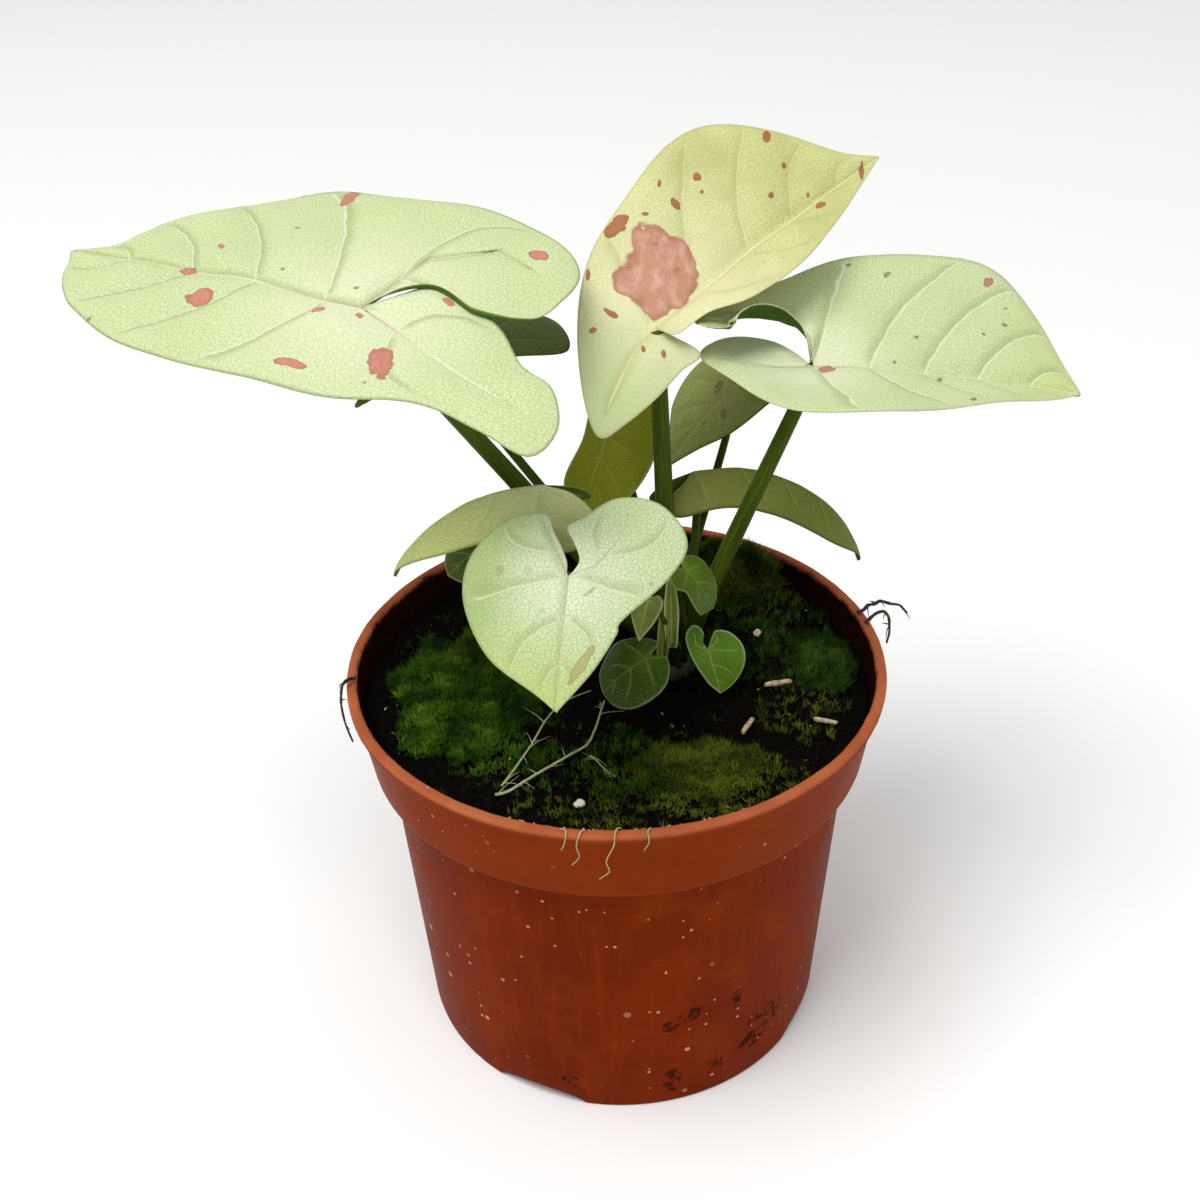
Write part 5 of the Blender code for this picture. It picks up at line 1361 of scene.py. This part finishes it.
def makeBits():
    draw, lumps = Random(23), makeLumps()
    places = [[] for _ in lumps]
    for count in range(bits["onLip"] + bits["onSoil"]):
        onLip = count < bits["onLip"]
        if onLip:
            reach = bits["lipReach"] + bits["lipWidth"] * draw.random()
            turn = radians(draw.gauss(bits["lipMiddle"], bits["lipSpread"]))
            size = draw.uniform(*bits["lipSize"])
        else:
            reach, turn = bits["soilReach"] * draw.random() ** 0.5, draw.uniform(-pi, pi)
            size = bits["soilLeast"] + bits["soilMore"] * draw.random() ** 3
        x, y = reach * cos(turn), reach * sin(turn)
        base = pot["height"] - 0.3 if onLip else soilTop(x, y) + 0.8
        scale = Matrix.Diagonal((size * draw.uniform(1, 2.2) * mm, size * 0.6 * mm, size * 0.5 * mm, 1))
        chosen = places[draw.randrange(len(lumps))]
        spin = Matrix.Rotation(draw.uniform(0, 2 * pi), 4, "Z")
        chosen.append(Matrix.Translation((x * mm, y * mm, base * mm)) @ spin @ scale)
    shape = bmesh.new()
    gather(shape, lumps, places)
    addPiece("paleBits", shape, makeChipMaterial("paleGrit", "cbbf9f", "6f6248", 1.0))


# roots on the soil: width and (x, y, lift above it)
surfaceRoots = {
    "root_runner": (1.1, [(-25, -41.5, 0), (-21, -39.5, 0.4), (-14, -32.5, 0.9), (-6.5, -27, 1.2),
                          (-4, -18, 0.8), (-2.8, -9.7, 0)]),
    "root_side": (0.8, [(-24, -38.8, 0.2), (-20.5, -30.6, 0.8), (-16, -20, 1), (-12.5, -11.8, 0.7),
                        (-5.5, -5, 0)]),
    "root_fork": (0.7, [(-5.8, -29, 0.5), (-3.8, -31.6, 0.3), (-0.6, -36, 0)])}
# dry roots over the rim: width and (x, y, z)
rimRoots = {
    "dry_root_right": (1.1, [(56, 13.8, 94.5), (58.6, 14.8, 95.6), (61.3, 15.2, 96.4), (65.9, 14.9, 95.2),
                             (67.5, 14.7, 93.4)]),
    "dry_root_hook": (1.0, [(57.2, 9.6, 94.4), (61.5, 12.7, 95.4), (63.4, 12.2, 92), (62.8, 10.3, 88.5)]),
    "dry_root_left": (0.9, [(-57.4, -7, 94.3), (-59.9, -10.5, 94.5), (-59.5, -13.8, 91),
                            (-57.8, -17.6, 85)])}
# pale hairs that hang over the front of the rim, each from a place on the soil
rimHairs = [
    [(-5.5, -54.0), (-6.6, -57.4, 92.8), (-7.6, -59.3, 94.0), (-8.4, -60.2, 91.5), (-7.9, -60.1, 88.6),
     (-9.4, -59.8, 86.2)],
    [(1.5, -53.5), (0.2, -57.2, 93.0), (-0.8, -59.4, 94.4), (-1.2, -60.4, 91.5), (-2.7, -60.3, 87.5),
     (-2.2, -60.1, 84.6), (-4.2, -59.9, 82.4)],
    [(-12.5, -54.0), (-11.6, -57.0, 93.0), (-10.4, -58.9, 94.1), (-10.7, -59.8, 91.8),
     (-11.4, -59.7, 90.0)],
    [(7.0, -53.0), (6.2, -57.2, 92.9), (5.4, -59.3, 94.0), (5.6, -60.1, 92.0), (4.6, -60.1, 89.8)]]
roots = {"slimness": 0.6, "hairs": 9, "hairWidth": 0.24, "rimHairs": 5, "rimHairWidth": 0.4,
         "hangingWidth": 0.34}


def makeRootMaterial(name, light, deep):
    material, nodes, shader = newMaterial(name)
    drawn = nodes.vector("MULTIPLY", nodes.stored("strand"), (3, 3, 0.6))
    grain = nodes.noise(drawn, 1.0, 4.0, 0.6)
    colour = nodes.mix(nodes.fade(grain, 0.35, 0.65), tone(deep), tone(light))
    finish(nodes, shader, colour, nodes.fade(grain, 0.3, 0.7, 0.5, 0.75), grain, 0.5, 0.15)
    return material


def wander(route, draw, amount):
    return [point + np.array([draw.uniform(-amount, amount) for _ in range(3)]) for point in route]


def taperedSweep(route, width, keep, sides):
    widths = [width * (1 - (1 - keep) * index / (len(route) - 1)) for index in range(len(route))]
    return sweep(route, widths, sides)


def makeRoots():
    draw = Random(3)
    pale = makeRootMaterial("paleRoot", "c3c795", "838a52")
    dark = makeRootMaterial("driedRoot", "3a2c22", "120c09")
    for node, (width, stops) in surfaceRoots.items():
        points = [(x, y, soilHeight(x, y) + 0.5 + width / 2 + lift) for x, y, lift in stops]
        route = smoothLine(wander(smoothLine(points, 2), draw, 0.2), 4)
        meshes = [taperedSweep(route, roots["slimness"] * width, 0.6, 10)]
        for count in range(roots["hairs"]):
            start = route[draw.randrange(0, len(route) - 4)]
            away = np.array([draw.uniform(-1, 1), draw.uniform(-1, 1), 0])
            end = start + away * (3.5 + count * 0.4) + (0, 0, 0.1)
            hair = smoothLine([start, start + away * 2.0 + (0, 0, 0.4), end], 4)
            meshes.append(taperedSweep(hair, roots["hairWidth"], 0.3, 5))
        addPiece(camel(node, "Strand"), joinMeshes(meshes), pale, [node])
    for node, (width, stops) in rimRoots.items():
        route = smoothLine(wander(smoothLine(stops, 2), draw, 0.3), 4)
        meshes = [sweep(route, [width * (0.75 + 0.3 * draw.random()) * (1 - 0.5 * index / len(route))
                                for index in range(len(route))], 8)]
        for _ in range(roots["rimHairs"]):
            start = route[draw.randrange(3, len(route) - 3)]
            away = np.array([draw.uniform(-1, 1), draw.uniform(-1, 1), draw.uniform(-1.2, 0.6)])
            hair = smoothLine([start, start + away * 1.2, start + away * 2.2 + (0.4, 0, -0.5)], 4)
            meshes.append(taperedSweep(hair, roots["rimHairWidth"], 0.3, 6))
        addPiece(camel(node, "Fibres"), joinMeshes(meshes), dark, [node])
    meshes = []
    for (x, y), *rest in rimHairs:
        route = smoothLine([(x, y, soilHeight(x, y) + 0.3), *rest], 5)
        meshes.append(taperedSweep(route, roots["hangingWidth"], 0.5, 6))
    addPiece("rimHairs", joinMeshes(meshes), pale)
    print("roots laid")


# floor, light and camera
studio = {"floorSize": 8.0, "floor": "fdfdfc", "worldStrength": 0.62, "cameraAt": (0.0, -0.28478, 0.2943),
          "cameraTilt": 56.88, "cameraPan": 0.011, "cameraRoll": -0.029, "lens": 46.68}
# place, size and power of each lamp
lamps = {"key": ((-0.55, -0.5, 1.8), 1.0, 22.0), "fill": ((1.2, -1.2, 1.1), 1.2, 3.0)}


def makeStudio():
    shape = bmesh.new()
    bmesh.ops.create_grid(shape, x_segments=1, y_segments=1, size=studio["floorSize"] / 2)
    floor = setDown("floor", asMesh("floor", shape))
    material, _, shader = newMaterial("floorPaint")
    shader.inputs["Base Color"].default_value = tone(studio["floor"])
    shader.inputs["Roughness"].default_value = 0.9
    floor.data.materials.append(material)
    world = bpy.data.worlds.new("studioWorld")
    world.use_nodes = True
    world.node_tree.nodes["Background"].inputs["Color"].default_value = (1, 1, 1, 1)
    world.node_tree.nodes["Background"].inputs["Strength"].default_value = studio["worldStrength"]
    bpy.context.scene.world = world
    for name, (at, size, power) in lamps.items():
        light = bpy.data.lights.new(name, "AREA")
        light.energy, light.size = power, size
        lamp = setDown(name, light)
        lamp.location = at
        lamp.rotation_euler = (Vector((0, 0, 0.1)) - Vector(at)).to_track_quat("-Z", "Y").to_euler()
    bpy.context.scene.view_settings.view_transform = "Standard"


def makeCamera():
    camera = bpy.data.cameras.new("camera")
    camera.lens, camera.sensor_width = studio["lens"], 36
    camera.clip_start = 0.01
    stand = setDown("camera", camera)
    stand.matrix_world = (Matrix.Translation(studio["cameraAt"])
                          @ Matrix.Rotation(studio["cameraPan"], 4, "Z")
                          @ Matrix.Rotation(radians(studio["cameraTilt"]), 4, "X")
                          @ Matrix.Rotation(studio["cameraRoll"], 4, "Z"))
    bpy.context.scene.camera = stand


makeCamera()
makeStudio()
makePot()
makeSoil()
makeMoss()
makeCrown()
makeChips()
makeRoots()
growLeaves()
